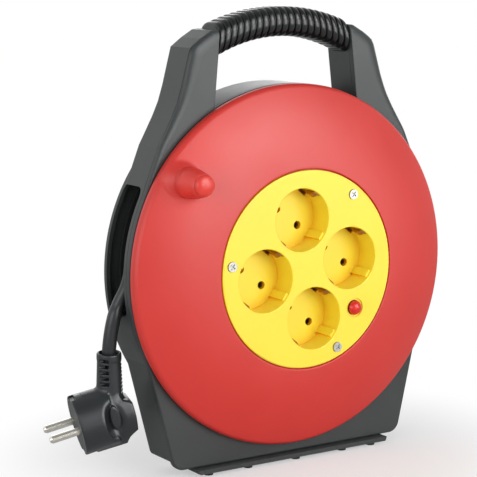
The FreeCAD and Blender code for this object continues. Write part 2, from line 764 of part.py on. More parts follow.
def make_socket_plate():
    plate = Body("socket_plate")
    front, radius = dim.plate_front, dim.plate_radius
    plate.revolve([
        (0.0, front), (radius - 0.8, front, (61.966, -36.966)), (radius, front + 0.8),
        (radius, front + dim.plate_thick), (0.0, front + dim.plate_thick)])
    plate.bosses(front + 0.5, dim.well_back - front - 0.5, WELLS, dim.well_outer)
    plate.bosses(front + 0.5, 23.7, CARRIER_SCREWS, 3.4)
    plate.pocket(front, dim.well_floor - front, circles=circles_at(WELLS, dim.well_radius))

    def well_rim(edge):
        width = edge.BoundBox.XLength
        return lies_at(edge, front) and abs(width - 2 * num(dim.well_radius)) < 0.1
    plate.dress("Fillet", well_rim, 0.6)

    # guide ribs at the sides of each well
    ribs = []
    for x, z in WELLS:
        for x0, x1 in ((x + 18.2, x + 20.6), (x - 20.6, x - 18.2)):
            ribs.append(rect(x0, z - 2.6, x1, z + 2.6))
    plate.pad(front + 1.6, dim.well_floor - front - 1.6 + 0.5, ribs)
    plate.pocket(front, dim.well_back - front + 1.0, circles=[
        (pin_x, z, dim.pin_hole) for x, z in WELLS
        for pin_x in (x + dim.pin_offset, x - dim.pin_offset)])

    # slots for the earth clips, through the floor and up the wall
    slots = []
    for x, z in WELLS:
        for middle in (z + 19.3, z - 19.3):
            slots.append(rect(x - 3.0, middle - 1.5, x + 3.0, middle + 1.5))
    plate.pocket(-35.6, 20.2, slots)

    # holes for the plate screws and the reset button, then their wider mouths
    for depth, screw_hole, button_hole in ((6.0, 1.75, 4.85), (1.8, 3.3, 6.2)):
        plate.pocket(front - 1.0, depth, circles=circles_at(PLATE_SCREWS, screw_hole)
                     + [(dim.button_circle, dim.button_drop, button_hole)])
    plate.pocket(-24.0, 13.0, circles=circles_at(CARRIER_SCREWS, 1.25))
    drum_piece(plate.body)


def make_drum_screws():
    drum_piece(screws("socket_plate_screws", PLATE_SCREWS,
                      span=(-38.1, -26.8), head=(3.1, 1.66), shank_radius=1.4))
    drum_piece(screws("drum_join_screws", JOIN_SCREWS,
                      span=(3.0, -21.0), head=(3.0, 1.9), shank_radius=1.4))
    drum_piece(screws("contact_carrier_screws", CARRIER_SCREWS,
                      span=(-8.5, -21.0), head=(2.8, 1.75), shank_radius=1.2))


# ---------------------------------------------------------------------------------------------
# Contacts: pin sleeves on two busbars, earth clips on an earth bar, all on a carrier
# ---------------------------------------------------------------------------------------------
OUTER_COLUMN = OFFSET + dim.pin_offset
INNER_COLUMN = OFFSET - dim.pin_offset
BAR_HALF_WIDTH = 3.4
BAR_FRONT, BAR_BACK = -14.2, -13.4


def pin_spots(columns):
    return [(x, z) for x in columns for z in (OFFSET, -OFFSET)]


def busbar(name, column, top, link_half, link_bottom, link_top):
    """Two upright strips at x = +-column joined by a cross link, with four pin sleeves."""
    spots = pin_spots((-column, column))
    strips = [block("%s_strip_%d" % (name, k), x - BAR_HALF_WIDTH, x + BAR_HALF_WIDTH,
                    BAR_FRONT, BAR_BACK, -26.0, top)
              for k, x in enumerate((-column, column))]
    strips.append(block(name + "_link", -link_half, link_half, BAR_FRONT, BAR_BACK,
                        link_bottom, link_top))
    holes = [cylinder("%s_hole_%d" % (name, k), 2.8, 4.0, x, -16.0, z)
             for k, (x, z) in enumerate(spots)]
    drilled = cut(name + "_drilled", fuse(name + "_strips", strips),
                  fuse(name + "_holes", holes))
    sleeves = []
    for k, (x, z) in enumerate(spots):
        sleeve = "%s_sleeve_%d" % (name, k)
        sleeves.append(cut(sleeve, cylinder(sleeve + "_o", 3.1, 14.6, x, -16.4, z),
                           cylinder(sleeve + "_i", 2.46, 15.0, x, -16.6, z)))
    return fuse(name, [drilled] + sleeves)


def earth_clip(name, x, z):
    """U-shaped strip: a web behind the floor and two arms in the well, each with a bump."""
    items = [block(name + "_web", x - 2.4, x + 2.4, -16.6, -16.0, z - 19.9, z + 19.9)]
    for side, tag in ((1, "u"), (-1, "d")):
        arm_back, arm_face, bump_top = (z + side * reach for reach in (19.9, 19.2, 17.2))
        items.append(block(name + "_arm_" + tag, x - 2.4, x + 2.4, -35.2, -16.0,
                           *sorted((arm_back, arm_face))))
        round_bar = cylinder(name + "_round_" + tag, 5.2, 3.6,
                             x - 1.8, -30.0, z + side * 22.4, ALONG_X)
        limit = block(name + "_limit_" + tag, x - 1.8, x + 1.8, -35.2, -24.0,
                      *sorted((bump_top, arm_face)))
        items.append(common(name + "_bump_" + tag, round_bar, limit))
    return fuse(name, items)


def make_contacts():
    drum_piece(busbar("line_busbar", OUTER_COLUMN, top=33.0,
                      link_half=OUTER_COLUMN + BAR_HALF_WIDTH,
                      link_bottom=28.6, link_top=33.0))
    drum_piece(busbar("neutral_busbar", INNER_COLUMN, top=26.0,
                      link_half=INNER_COLUMN, link_bottom=-2.4, link_top=2.4))
    drum_piece(group("earth_clips", [earth_clip("earth_clip_%d" % k, num(x), num(z))
                                     for k, (x, z) in enumerate(WELLS)]))
    left, right = -OFFSET, OFFSET
    drum_piece(fuse("earth_bar", [
        block("earth_bar_a", left - 2.4, right + 2.4, -15.95, -15.2, 8.0, 12.0),
        block("earth_bar_b", right - 2.4, right + 2.4, -15.95, -15.2, -12.0, 12.0),
        block("earth_bar_c", left - 2.4, left + 2.4, -15.95, -15.2, -12.0, 12.0),
        block("earth_tab", -3.0, 3.0, -15.5, -4.6, 9.6, 10.4)]))


def make_carrier():
    columns = (-OUTER_COLUMN, -INNER_COLUMN, INNER_COLUMN, OUTER_COLUMN)
    holes = [cylinder("carrier_h%d" % k, 3.3, 6.0, x, -14.0, z)
             for k, (x, z) in enumerate(pin_spots(columns))]
    holes += [cylinder("carrier_s%d" % k, 1.7, 6.0, x, -14.0, z)
              for k, (x, z) in enumerate(CARRIER_SCREWS)]
    holes += [block("carrier_notch", 37.0, 60.0, -14.0, -9.0, -7.2, 7.2),
              block("carrier_tab_hole", -3.5, 3.5, -14.0, -9.0, 9.0, 11.0)]
    disc = cylinder("carrier_plate", 51.5, 2.6, 0.0, -12.9, 0.0)
    drum_piece(cut("contact_carrier", disc, fuse("carrier_holes", holes)))


def make_cutout():
    """Thermal cut-out and its reset button."""
    x, z = dim.button_circle, dim.button_drop
    case = cut("cutout_block", block("cutout_box", 38.2, 52.6, -34.4, -13.6, -6.4, 6.4),
               cylinder("cutout_bore", 3.0, 9.0, x, -35.0, z))
    drum_piece(fuse("thermal_cutout", [
        case,
        block("cutout_tab_a", 41.0, 41.8, -13.8, -8.0, -4.0, 4.0),
        block("cutout_tab_b", 48.0, 48.8, -13.8, -8.0, -4.0, 4.0)]))
    button = turned_body("reset_button", [
        (0.0, -41.2, (3.1, -40.1)), (4.55, -38.0), (4.55, -37.4), (2.9, -37.4),
        (2.9, -28.4), (0.0, -28.4)])
    button.Placement = TURNED.multiply(Placement(V(num(x), 0, num(z)), Rotation()))
    piece(button)


def make_knob():
    """Crank knob on its pin."""
    radius, base, end = dim.pin_radius, dim.knob_base, dim.knob_end
    pin = turned_body("knob_pin", [
        (0.0, -50.8, (4.4, -50.2)), (6.4, -48.6), (6.4, -47.7), (radius, -47.7),
        (radius, -17.6), (0.0, -17.6)])
    knob = turned_body("crank_knob", [
        (dim.knob_bore, dim.knob_foot), (base - 0.8, dim.knob_foot, (8.766, -32.234)),
        (base, dim.knob_foot - 0.8, (8.1, -39.0)), (end, -44.6, (6.85, -46.5)),
        (end - 1.6, -47.4), (dim.knob_bore, -47.4)])
    for part in (pin, knob):
        part.Placement = TURNED.multiply(Placement(V(KNOB_X, 0, KNOB_Z), Rotation()))
        piece(part)


# ---------------------------------------------------------------------------------------------
# Cord: a layered coil on the barrel with its inner end in the drum, the outer turn leading out
# of the slot, and a hanging end with the plug. Angles run from +X towards +Z.
# ---------------------------------------------------------------------------------------------
CORD = num(dim.cord_radius)
INNER_RADIUS, INNER_DEPTH, INNER_ANGLE = 47.0, -3.0, -74.0   # inner end of the cord
LANE_START, LANE_END = 30.0, 340.0   # each turn is round here, and changes lane in the rest
COIL_END = 155.0
LAYERS, LANES = 5, 3
WIRE_RADIUS = 1.2


def at(radius, degrees, y):
    x, z = polar(radius, degrees)
    return V(x, y, z)


def tangent(degrees):
    angle = math.radians(degrees)
    return V(-math.sin(angle), 0, math.cos(angle))


def smooth(u):
    return u * u * (3 - 2 * u)


def spline(points, start_tangent=None, end_tangent=None):
    curve = Part.BSplineCurve()
    if start_tangent is None:
        curve.interpolate(Points=points)
    else:
        curve.interpolate(Points=points, InitialTangent=start_tangent,
                          FinalTangent=end_tangent)
    return curve.toShape()


def round_arc(radius, start, end, y):
    middle = 0.5 * (start + end)
    return Part.Arc(at(radius, start, y), at(radius, middle, y), at(radius, end, y)).toShape()


def pipe(edges, radius):
    path = Part.Wire(edges)
    first = edges[0]
    start = first.valueAt(first.FirstParameter)
    direction = first.tangentAt(first.FirstParameter)
    profile = Part.Wire([Part.makeCircle(radius, start, direction)])
    shape = path.makePipeShell([profile], True, False)
    # the sweep may come back as a shell or a compound, or inside out
    if shape.ShapeType != "Solid":
        shape = Part.makeSolid(shape) if shape.ShapeType == "Shell" else shape.Solids[0]
    if shape.Volume < 0:
        shape.reverse()
    return shape


def entry_points():
    """From the clamp out to the first turn."""
    radius_step = num(dim.layer_first) - INNER_RADIUS
    depth_step = num(dim.lane_front) - INNER_DEPTH
    points = []
    for k in range(13):
        u = k / 12.0
        v = smooth(max(0.0, (u - 0.28) / 0.72))
        points.append(at(INNER_RADIUS + radius_step * v,
                         INNER_ANGLE + u * (LANE_START - INNER_ANGLE),
                         INNER_DEPTH + depth_step * v))
    return points


def lane_change(radius, y, next_radius, next_y):
    points = []
    for k in range(9):
        u = k / 8.0
        v = smooth(u)
        points.append(at(radius + (next_radius - radius) * v,
                         LANE_END + u * (360.0 + LANE_START - LANE_END),
                         y + (next_y - y) * v))
    return spline(points, tangent(LANE_END) * radius, tangent(LANE_START) * next_radius)


def make_wound_cord():
    turns = []
    for layer in range(LAYERS):
        lanes = range(LANES) if layer % 2 == 0 else reversed(range(LANES))
        for lane in lanes:
            turns.append((num(dim.layer_first) + layer * num(dim.layer_pitch),
                          num(dim.lane_front) + lane * num(dim.lane_pitch)))
    edges = [spline(entry_points(), tangent(INNER_ANGLE) * 50.0, tangent(LANE_START) * 60.0)]
    for (radius, y), (next_radius, next_y) in zip(turns, turns[1:]):
        edges.append(round_arc(radius, LANE_START, LANE_END, y))
        edges.append(lane_change(radius, y, next_radius, next_y))
    radius, y = turns[-1]
    edges.append(round_arc(radius, LANE_START, COIL_END, y))
    piece(feature("wound_cord", pipe(edges, CORD), TURNED))


def make_drum_core(blank):
    """The core with the passage for the cord."""
    passage = feature("cord_passage", pipe([spline(entry_points()[6:])], CORD + 0.7))
    drum_piece(cut("drum_core", blank, passage))


def make_clamp():
    """Clamp over the cord's inner end, modelled on the X axis and turned to its angle."""
    seat = TURNED.multiply(Placement(V(0, 0, 0), Rotation(V(0, 1, 0), 62.0)))
    spots = [(40.9, 0.0), (53.1, 0.0)]
    holes = fuse("clamp_holes", [cylinder("clamp_hole_%d" % k, 1.6, 20.0, x, -10.0, z)
                                 for k, (x, z) in enumerate(spots)])
    bar = cut("cord_clamp_cut", block("clamp_block", 38.6, 55.4, -8.4, 3.9, -4.5, 4.5), holes)
    channel = cylinder("clamp_channel", dim.cord_radius + 0.35, 40.0,
                       47.1, INNER_DEPTH, -20.0, ALONG_Z)
    clamp = cut("cord_clamp", bar, channel)
    clamp_screws = screws("cord_clamp_screws", spots,
                          span=(-10.05, 3.8), head=(2.6, 1.6), shank_radius=1.3)
    for part in (clamp, clamp_screws):
        part.Placement = seat
        piece(part)


# Name, offset at the cord's end (outward from the drum axis, along Y), and the (x, y, z)
# points that follow in the drum's frame.
WIRES = [
    ("wire_blue", -2.0, 0.8,
     [(8.0, -0.8, -38.0), (10.5, -0.4, -30.5), (12.6, 0.0, -24.8), (12.87, -1.5, -22.37)]),
    ("wire_brown", 1.8, 1.7,
     [(6.0, 1.6, -44.0), (2.6, 2.4, -38.5), (6.5, 2.6, -31.5), (18.0, 2.6, -22.0),
      (30.0, 2.0, -10.0), (38.5, -1.5, -3.0), (41.4, -6.3, 0.0)]),
    ("wire_green_yellow", 1.0, -1.9,
     [(2.0, -5.6, -41.0), (-5.0, -6.6, -32.0), (-6.6, -6.6, -22.0), (-7.2, -6.6, -8.0),
      (-7.0, -6.4, 4.0), (-4.5, -6.2, 10.0)]),
]
# from the cut-out to the line busbar
WIRE_LINK = [(48.4, -6.6, 0.0), (47.6, -2.4, 6.0), (42.0, 1.0, 14.0), (34.5, 1.6, 21.0),
             (31.87, -1.5, 22.37)]


def make_wires():
    start_angle = INNER_ANGLE - 1.0
    cord_end = at(INNER_RADIUS, start_angle, INNER_DEPTH)
    leaving = -tangent(start_angle)
    outward = at(1.0, start_angle, 0.0)
    for name, out, along_y, points in WIRES:
        start = cord_end + outward * out + V(0, along_y, 0)
        path = spline([start, start + leaving * 3.0] + [V(*point) for point in points])
        piece(feature(name, pipe([path], WIRE_RADIUS), TURNED))
    link = spline([V(*point) for point in WIRE_LINK])
    piece(feature("wire_link", pipe([link], WIRE_RADIUS), TURNED))


# Joints of the hanging end: SWING, where it leaves the outlet run, and PIVOT, in the plug's
# boot. The plug's own frame has X out along the pins and Z towards the cord.
SWING = V(-114.1, 0.4, 111.0)
LEAD_DIRECTION = V(-0.33, 0, -0.944).normalize()
PLUG = Placement(V(-138.93, 11.32, 36.81),
                 Rotation(-0.125098, -0.024997, 0.982894, 0.132831))
BOOT_TILT = math.radians(13.2)
BOOT_LENGTH = 39.8
BORE_DEPTH = 6.0
BOOT_AXIS = V(-math.sin(BOOT_TILT), 0, math.cos(BOOT_TILT))
BOOT_ROOT = V(-21.6, 0, 0)
BOOT_TOP = BOOT_ROOT + BOOT_AXIS * BOOT_LENGTH
BORE_START = BOOT_TOP - BOOT_AXIS * BORE_DEPTH


def make_outlet_run():
    """Outer turn inside the drum chamber and out through the slot."""
    radius, y, end = 107.8, -4.2, 174.0
    turn = round_arc(radius, 136.0, end, y)
    turn.translate(AXIS_POINT)
    lead = spline([at(radius, end, y) + AXIS_POINT, V(-107.9, -3.2, 129.0),
                   V(-109.6, -1.4, 121.0), SWING - LEAD_DIRECTION * 4.3],
                  tangent(end) * 12.0, LEAD_DIRECTION * 12.0)
    piece(feature("cord_outlet_run", pipe([turn, lead], CORD)))


def make_cord_tail():
    """Hanging end of the cord, with a ball at each joint."""
    boot_axis = PLUG.Rotation.multVec(BOOT_AXIS)
    boot_top = PLUG.multVec(BOOT_TOP)
    pivot = boot_top - boot_axis * BORE_DEPTH
    path = spline([SWING, V(-117.0, 0.2, 104.2), V(-118.8, 0.9, 96.0),
                   V(-119.8, 1.7, 88.0), boot_top, pivot],
                  LEAD_DIRECTION * 7.0, boot_axis * -6.0)
    balls = [Part.makeSphere(CORD, SWING), Part.makeSphere(CORD, pivot)]
    tail = pipe([path], CORD).fuse(balls).removeSplitter()
    piece(feature("cord_tail", tail))


# ---------------------------------------------------------------------------------------------
# Plug: moulded body with boot, face insert, pins and earth strips
# ---------------------------------------------------------------------------------------------
PIN_SEAT_RADIUS = 2.46
PLUG_PINS = (dim.pin_offset, -dim.pin_offset)


def plug_piece(obj):
    obj.Placement = PLUG
    return piece(obj)


def pin_seats(name, x, length):
    return [cylinder("%s_%d" % (name, k), PIN_SEAT_RADIUS, length, x, y, 0.0, AGAINST_X)
            for k, y in enumerate(PLUG_PINS)]


def make_plug_body():
    boot_turn = Rotation(V(0, 0, 1), BOOT_AXIS)
    solid = fuse("plug_solid", [
        cylinder("plug_barrel", dim.plug_radius, 21.0, 0.0, 0.0, 0.0, AGAINST_X),
        cone("plug_shoulder", dim.plug_radius, 16.5, 7.0, -20.9, 0.0, 0.0, AGAINST_X),
        block("plug_back", -35.5, -18.0, -12.0, 12.0, -11.5, 9.0),
        cone("plug_boot", 9.0, 7.1, BOOT_LENGTH,
             BOOT_ROOT.x, BOOT_ROOT.y, BOOT_ROOT.z, boot_turn)])
    # the boot's bore has a ball at its bottom and widens to its mouth
    bore_radius = dim.cord_radius + 0.25
    ball = doc.addObject("Part::Sphere", "boot_bore_ball")
    assign(ball, "Radius", bore_radius)
    ball.Placement = Placement(BORE_START, Rotation())
    bore = cone("boot_bore", bore_radius, dim.cord_radius + 2.1, BORE_DEPTH + 0.6,
                BORE_START.x, BORE_START.y, BORE_START.z, boot_turn)
    tools = [ball, bore, cylinder("plug_recess", 15.6, 7.0 - 6.0 + 6.0, 1.0, 0.0, 0.0,
                                  AGAINST_X)]
    tools += pin_seats("plug_seat", 0.0, 14.0)
    # channels for the earth strips
    tools += [block("plug_channel_t", -15.0, 1.0, -4.6, 4.6, 16.4, 25.0),
              block("plug_channel_b", -15.0, 1.0, -4.6, 4.6, -25.0, -16.4)]
    plug_piece(cut("plug_body", solid, fuse("plug_tools", tools)))


def make_plug_insert():
    disc = cylinder("insert_disc", 15.5, 5.8, -0.1, 0.0, 0.0, AGAINST_X)
    holes = fuse("insert_holes", pin_seats("insert_hole", 1.0, 10.0))
    plug_piece(cut("plug_face_insert", disc, holes))


def make_plug_pins():
    radius = dim.plug_pin_radius
    pins = []
    for k, y in enumerate(PLUG_PINS):
        pins.append(fuse("plug_pin_%d" % k, [
            cylinder("plug_pin_shaft_%d" % k, radius, 17.6, 17.6, y, 0.0, AGAINST_X),
            cylinder("plug_pin_root_%d" % k, 2.1, 14.0, 0.2, y, 0.0, AGAINST_X),
            cone("plug_pin_tip_%d" % k, 1.5, radius, 1.4, 19.0, y, 0.0, AGAINST_X)]))
    plug_piece(group("plug_pins", pins))


def make_plug_strips():
    """Earth strips in the top and bottom channels, each with a raised middle."""
    top = fuse("strip_t", [block("strip_ta", -14.6, -0.4, -3.4, 3.4, 16.5, 17.3),
                           block("strip_tb", -10.0, -4.0, -2.2, 2.2, 17.2, 17.9)])
    bottom = fuse("strip_b", [block("strip_ba", -14.6, -0.4, -3.4, 3.4, -17.3, -16.5),
                              block("strip_bb", -10.0, -4.0, -2.2, 2.2, -17.9, -17.2)])
    plug_piece(group("plug_earth_strips", [top, bottom]))


# ---------------------------------------------------------------------------------------------
# Build, check and write
# ---------------------------------------------------------------------------------------------
def export_pieces():
    doc.recompute()
    bad = [obj.Name for obj in doc.Objects if "Invalid" in obj.State or "Error" in obj.State]
    if bad:
        raise RuntimeError("failed objects: %s" % bad)
    os.makedirs("parts", exist_ok=True)
    if len({obj.Label for obj in PIECES}) != len(PIECES):
        raise RuntimeError("two pieces share a name")
    for obj in PIECES:
        if obj.Shape.isNull() or not obj.Shape.isValid():
            raise RuntimeError("%s is not a valid shape" % obj.Label)
    for obj in PIECES:
        obj.Shape.exportStep(os.path.join("parts", obj.Label + ".step"))


make_front_housing()
make_rear_housing()
make_handle_sleeve()
make_handle_core()
make_foot()
make_foot_fittings()
make_housing_screws()

make_front_disc()
core_blank = make_drum_core_blank()
make_bearing()
make_socket_plate()
make_drum_screws()
make_contacts()
make_carrier()
make_cutout()
make_knob()

make_wound_cord()
make_drum_core(core_blank)
make_clamp()
make_wires()
make_outlet_run()
make_cord_tail()

make_plug_body()
make_plug_insert()
make_plug_pins()
make_plug_strips()
export_pieces()
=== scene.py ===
"""Cable reel with a red drum disc, a crank knob, a ribbed carrying handle and a hanging plug.

It stands on the floor at z = 0 with its front towards -Y. The drum turns about an axis along Y,
at x = 0 and z = AXIS_Z. Pieces are drawn in millimetres and scaled by MM to metres. Materials,
lights, floor and camera are in metres. Profiles of turned pieces are (radius, y) and outlines
seen from the front are (x, z).
"""
import bpy
import bmesh
import json
import math
import numpy as np
from contextlib import contextmanager
from mathutils import Matrix, Quaternion, Vector


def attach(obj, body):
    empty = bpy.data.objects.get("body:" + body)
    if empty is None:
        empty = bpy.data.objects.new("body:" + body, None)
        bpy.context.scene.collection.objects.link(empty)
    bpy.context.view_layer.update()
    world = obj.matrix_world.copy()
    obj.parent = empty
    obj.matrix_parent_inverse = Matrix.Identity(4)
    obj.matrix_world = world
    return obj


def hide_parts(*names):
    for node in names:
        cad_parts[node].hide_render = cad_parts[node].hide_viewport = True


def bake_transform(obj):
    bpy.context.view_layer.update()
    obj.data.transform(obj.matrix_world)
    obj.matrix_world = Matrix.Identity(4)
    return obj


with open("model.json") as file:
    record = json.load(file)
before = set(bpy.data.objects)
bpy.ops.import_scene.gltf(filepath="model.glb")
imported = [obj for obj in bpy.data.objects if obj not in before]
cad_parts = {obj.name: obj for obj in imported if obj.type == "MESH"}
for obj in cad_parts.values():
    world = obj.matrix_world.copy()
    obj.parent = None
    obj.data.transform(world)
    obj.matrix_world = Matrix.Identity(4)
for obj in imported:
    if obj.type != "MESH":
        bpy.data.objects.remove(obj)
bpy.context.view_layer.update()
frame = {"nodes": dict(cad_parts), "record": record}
NODES = frame["nodes"]
SCENE = bpy.context.scene

MM = 0.001
AXIS_Z = 126.2
CASE_RADIUS = 114.5     # round part of the case, and the rim of the disc
KNOB_XZ = (-80.07, 186.10)


# ------------------------------------------------------------------ mesh helpers
def link(ob):
    SCENE.collection.objects.link(ob)
    return ob


def mesh_object(name, verts, faces, material):
    mesh = bpy.data.meshes.new(name)
    mesh.from_pydata([tuple(v) for v in verts], [], faces)
    mesh.validate()
    mesh.update()
    ob = link(bpy.data.objects.new(name, mesh))
    for polygon in mesh.polygons:
        polygon.use_smooth = True
    mesh.materials.append(material)
    return ob


@contextmanager
def edited(ob):
    """the object's mesh as a bmesh, written back at the end"""
    bm = bmesh.new()
    bm.from_mesh(ob.data)
    yield bm
    bm.to_mesh(ob.data)
    bm.free()


def recalc_normals(ob):
    with edited(ob) as bm:
        bmesh.ops.recalc_face_normals(bm, faces=bm.faces)


def mark_sharp(bm, degrees):
    """smooth faces, with edges sharp where they bend by the angle or more"""
    limit = math.radians(degrees)
    for face in bm.faces:
        face.smooth = True
    for edge in bm.edges:
        if len(edge.link_faces) == 2:
            edge.smooth = edge.calc_face_angle(0.0) < limit


def auto_smooth(ob, degrees):
    with edited(ob) as bm:
        mark_sharp(bm, degrees)


# ------------------------------------------------------------------ shader helpers
def feed(node, inputs):
    """link or set the node's inputs: {socket name or index: output socket or value}"""
    for key, value in inputs.items():
        if isinstance(value, bpy.types.NodeSocket):
            node.id_data.links.new(value, node.inputs[key])
        else:
            node.inputs[key].default_value = value


def add_node(tree, kind, inputs=None, **settings):
    node = tree.nodes.new("ShaderNode" + kind)
    for key, value in settings.items():
        setattr(node, key, value)
    feed(node, inputs or {})
    return node


def map_range(tree, value, source=(0.0, 1.0), target=(0.0, 1.0), **settings):
    return add_node(tree, "MapRange", {
        "Value": value,
        "From Min": source[0], "From Max": source[1],
        "To Min": target[0], "To Max": target[1]}, **settings).outputs[0]


def new_material(name):
    """a material with a Principled shader: (material, tree, shader, output node)"""
    material = bpy.data.materials.new(name)
    material.use_nodes = True
    tree = material.node_tree
    tree.nodes.clear()
    output = add_node(tree, "OutputMaterial")
    shader = add_node(tree, "BsdfPrincipled")
    feed(output, {0: shader.outputs[0]})
    return material, tree, shader, output


def linear(rgb):
    """linear colour from sRGB values of 0 to 255"""
    scaled = [c / 255.0 for c in rgb]
    return tuple(c / 12.92 if c <= 0.04045 else ((c + 0.055) / 1.055) ** 2.4 for c in scaled)


# ------------------------------------------------------------------ material kinds
def plastic(name, color, rough, var=0.06, grain=900.0, bump=0.05, spec=0.5, scratches=0.0,
            painted_crevice_shade=None):
    """moulded plastic or rubber; colours are sRGB 0 to 255

    var: strength of the soft mottling      grain, bump: scale and depth of the fine texture
    scratches: depth of drawn-out marks     crevice: painted shade, a colour mixed into enclosed corners
    """
    material, tree, shader, _ = new_material(name)
    coords = add_node(tree, "TexCoord").outputs["Object"]
    mottle = add_node(tree, "TexNoise", {
        "Vector": coords, "Scale": 28.0, "Detail": 5.0, "Roughness": 0.6}).outputs["Fac"]
    fine = add_node(tree, "TexNoise", {
        "Vector": coords, "Scale": grain, "Detail": 3.0}).outputs["Fac"]
    mottle_span = (0.3, 0.7)
    shade = map_range(tree, mottle, source=mottle_span, target=(1.0 - var, 1.0 + var))
    base = add_node(tree, "VectorMath", {0: linear(color), "Scale": shade},
                    operation="SCALE").outputs[0]
    # painted shade: ambient occlusion mixes the crevice colour into corners and hollows, standing
    # in for inter-reflected shade
    if painted_crevice_shade:
        occlusion = add_node(tree, "AmbientOcclusion", {"Distance": 0.016}, samples=8)
        openness = map_range(tree, occlusion.outputs["AO"], source=(0.05, 0.62))
        base = add_node(tree, "Mix", {"A": (*linear(painted_crevice_shade), 1), "Factor": openness, "B": base},
                        data_type="RGBA").outputs["Result"]
    rough_var = 0.12
    roughness = map_range(tree, mottle, source=mottle_span,
                          target=(rough * (1 - rough_var), rough * (1 + rough_var)))
    height = fine
    if scratches > 0:
        stretched = add_node(tree, "Mapping", {
            "Vector": coords, "Scale": (1.0, 6.0, 0.15), "Rotation": (0.3, 0.2, 0.7)})
        marks = add_node(tree, "TexNoise", {
            "Vector": stretched.outputs[0], "Scale": 55.0, "Detail": 8.0, "Distortion": 0.4})
        height = add_node(tree, "Math", {0: marks.outputs["Fac"], 1: scratches, 2: fine},
                          operation="MULTIPLY_ADD").outputs[0]
    relief = add_node(tree, "Bump", {"Strength": bump, "Distance": 0.0002, "Height": height})
    feed(shader, {"Base Color": base, "Roughness": roughness, "Normal": relief.outputs[0],
                  "Specular IOR Level": spec})
    return material


def metal(name, color, rough, var=0.08, bump=0.04):
    """bare metal; colour is linear, var and bump are the strengths of the fine noise"""
    material, tree, shader, _ = new_material(name)
    coords = add_node(tree, "TexCoord").outputs["Object"]
    mapped = add_node(tree, "Mapping", {"Vector": coords}).outputs[0]
    noise = add_node(tree, "TexNoise", {
        "Vector": mapped, "Scale": 420.0, "Detail": 6.0}).outputs["Fac"]
    shade = map_range(tree, noise, target=(1 - var * 2, 1 + var))
    base = add_node(tree, "VectorMath", {0: color, "Scale": shade}, operation="SCALE")
    roughness = map_range(tree, noise, target=(rough * 0.75, rough * 1.3))
    relief = add_node(tree, "Bump", {"Strength": bump, "Distance": 0.0001, "Height": noise})
    feed(shader, {"Base Color": base.outputs[0], "Metallic": 1.0, "Roughness": roughness,
                  "Normal": relief.outputs[0]})
    return material


# ------------------------------------------------------------------ materials
# slot name: (kind, its settings)
FINISHES = {
    "housing_plastic": (plastic, dict(color=(56, 60, 60), rough=0.38, var=0.05, grain=1400,
                                      bump=0.22, spec=0.42, scratches=0.3)),
    "grip_rubber": (plastic, dict(color=(22, 24, 25), rough=0.22, var=0.08, grain=1100, bump=0.1)),
    "pad_rubber": (plastic, dict(color=(38, 38, 38), rough=0.75, bump=0.2)),
    "zinc_steel": (metal, dict(color=(0.5, 0.49, 0.46), rough=0.34)),
    "cord_sheath": (plastic, dict(color=(40, 42, 44), rough=0.3, var=0.08, grain=1500,
                                  bump=0.15)),
    "red_plastic": (plastic, dict(color=(211, 53, 46), rough=0.42, var=0.025, grain=1500,
                                  scratches=0.15)),
    "knob_red": (plastic, dict(color=(224, 60, 50), rough=0.34, var=0.03)),
    "button_red": (plastic, dict(color=(222, 40, 32), rough=0.25, var=0.03, grain=700,
                                 bump=0.03)),
    # the orange in the corners and wells of the sockets is painted shade
    "yellow_plastic": (plastic, dict(color=(254, 230, 60), rough=0.36, var=0.02, grain=1500,
                                     painted_crevice_shade=(250, 172, 14))),
    "core_plastic": (plastic, dict(color=(34, 35, 36), rough=0.5, bump=0.1)),
    "cutout_plastic": (plastic, dict(color=(30, 30, 30), rough=0.5, bump=0.1)),
    "bush_plastic": (plastic, dict(color=(225, 222, 210), rough=0.45, bump=0.1)),
    "brass": (metal, dict(color=(0.78, 0.57, 0.25), rough=0.3)),
    "nickel": (metal, dict(color=(0.84, 0.82, 0.74), rough=0.22, var=0.03, bump=0.006)),
    "insulation_blue": (plastic, dict(color=(30, 80, 170), rough=0.35)),
    "insulation_brown": (plastic, dict(color=(95, 55, 35), rough=0.35)),
    "insulation_green_yellow": (plastic, dict(color=(120, 180, 40), rough=0.35)),
    "plug_rubber": (plastic, dict(color=(40, 44, 46), rough=0.34, var=0.07, grain=1200,
                                  bump=0.15)),
    "insert_plastic": (plastic, dict(color=(58, 62, 62), rough=0.45, grain=1200, bump=0.1)),
}
MATERIALS = {name: kind(name, **settings) for name, (kind, settings) in FINISHES.items()}


def dress_cad_pieces():
    """give every loaded piece the material of its slot, and three of them their own"""
    slot_of = {part["node"]: part["material_slot"] for part in frame["record"]["subparts"]}
    for name, ob in NODES.items():
        ob.data.materials.clear()
        ob.data.materials.append(MATERIALS[slot_of[name]])
        auto_smooth(ob, degrees=28.0)
    NODES["earth_clips"].data.materials[0] = metal(
        "clip_bronze", color=(0.5, 0.26, 0.12), rough=0.3)
    # painted light: the contact carrier's reddish brown stands in for the glow bounced into the
    # pin holes by the yellow plastic
    NODES["contact_carrier"].data.materials[0] = plastic(
        "carrier_plastic", color=(150, 60, 30), rough=0.45, bump=0.1)
    # painted shade: the plug's nickel earth strips are darkened to stand in for the shade of their
    # channels
    NODES["plug_earth_strips"].data.materials[0] = metal(
        "nickel_strip", color=(0.16, 0.16, 0.15), rough=0.4)


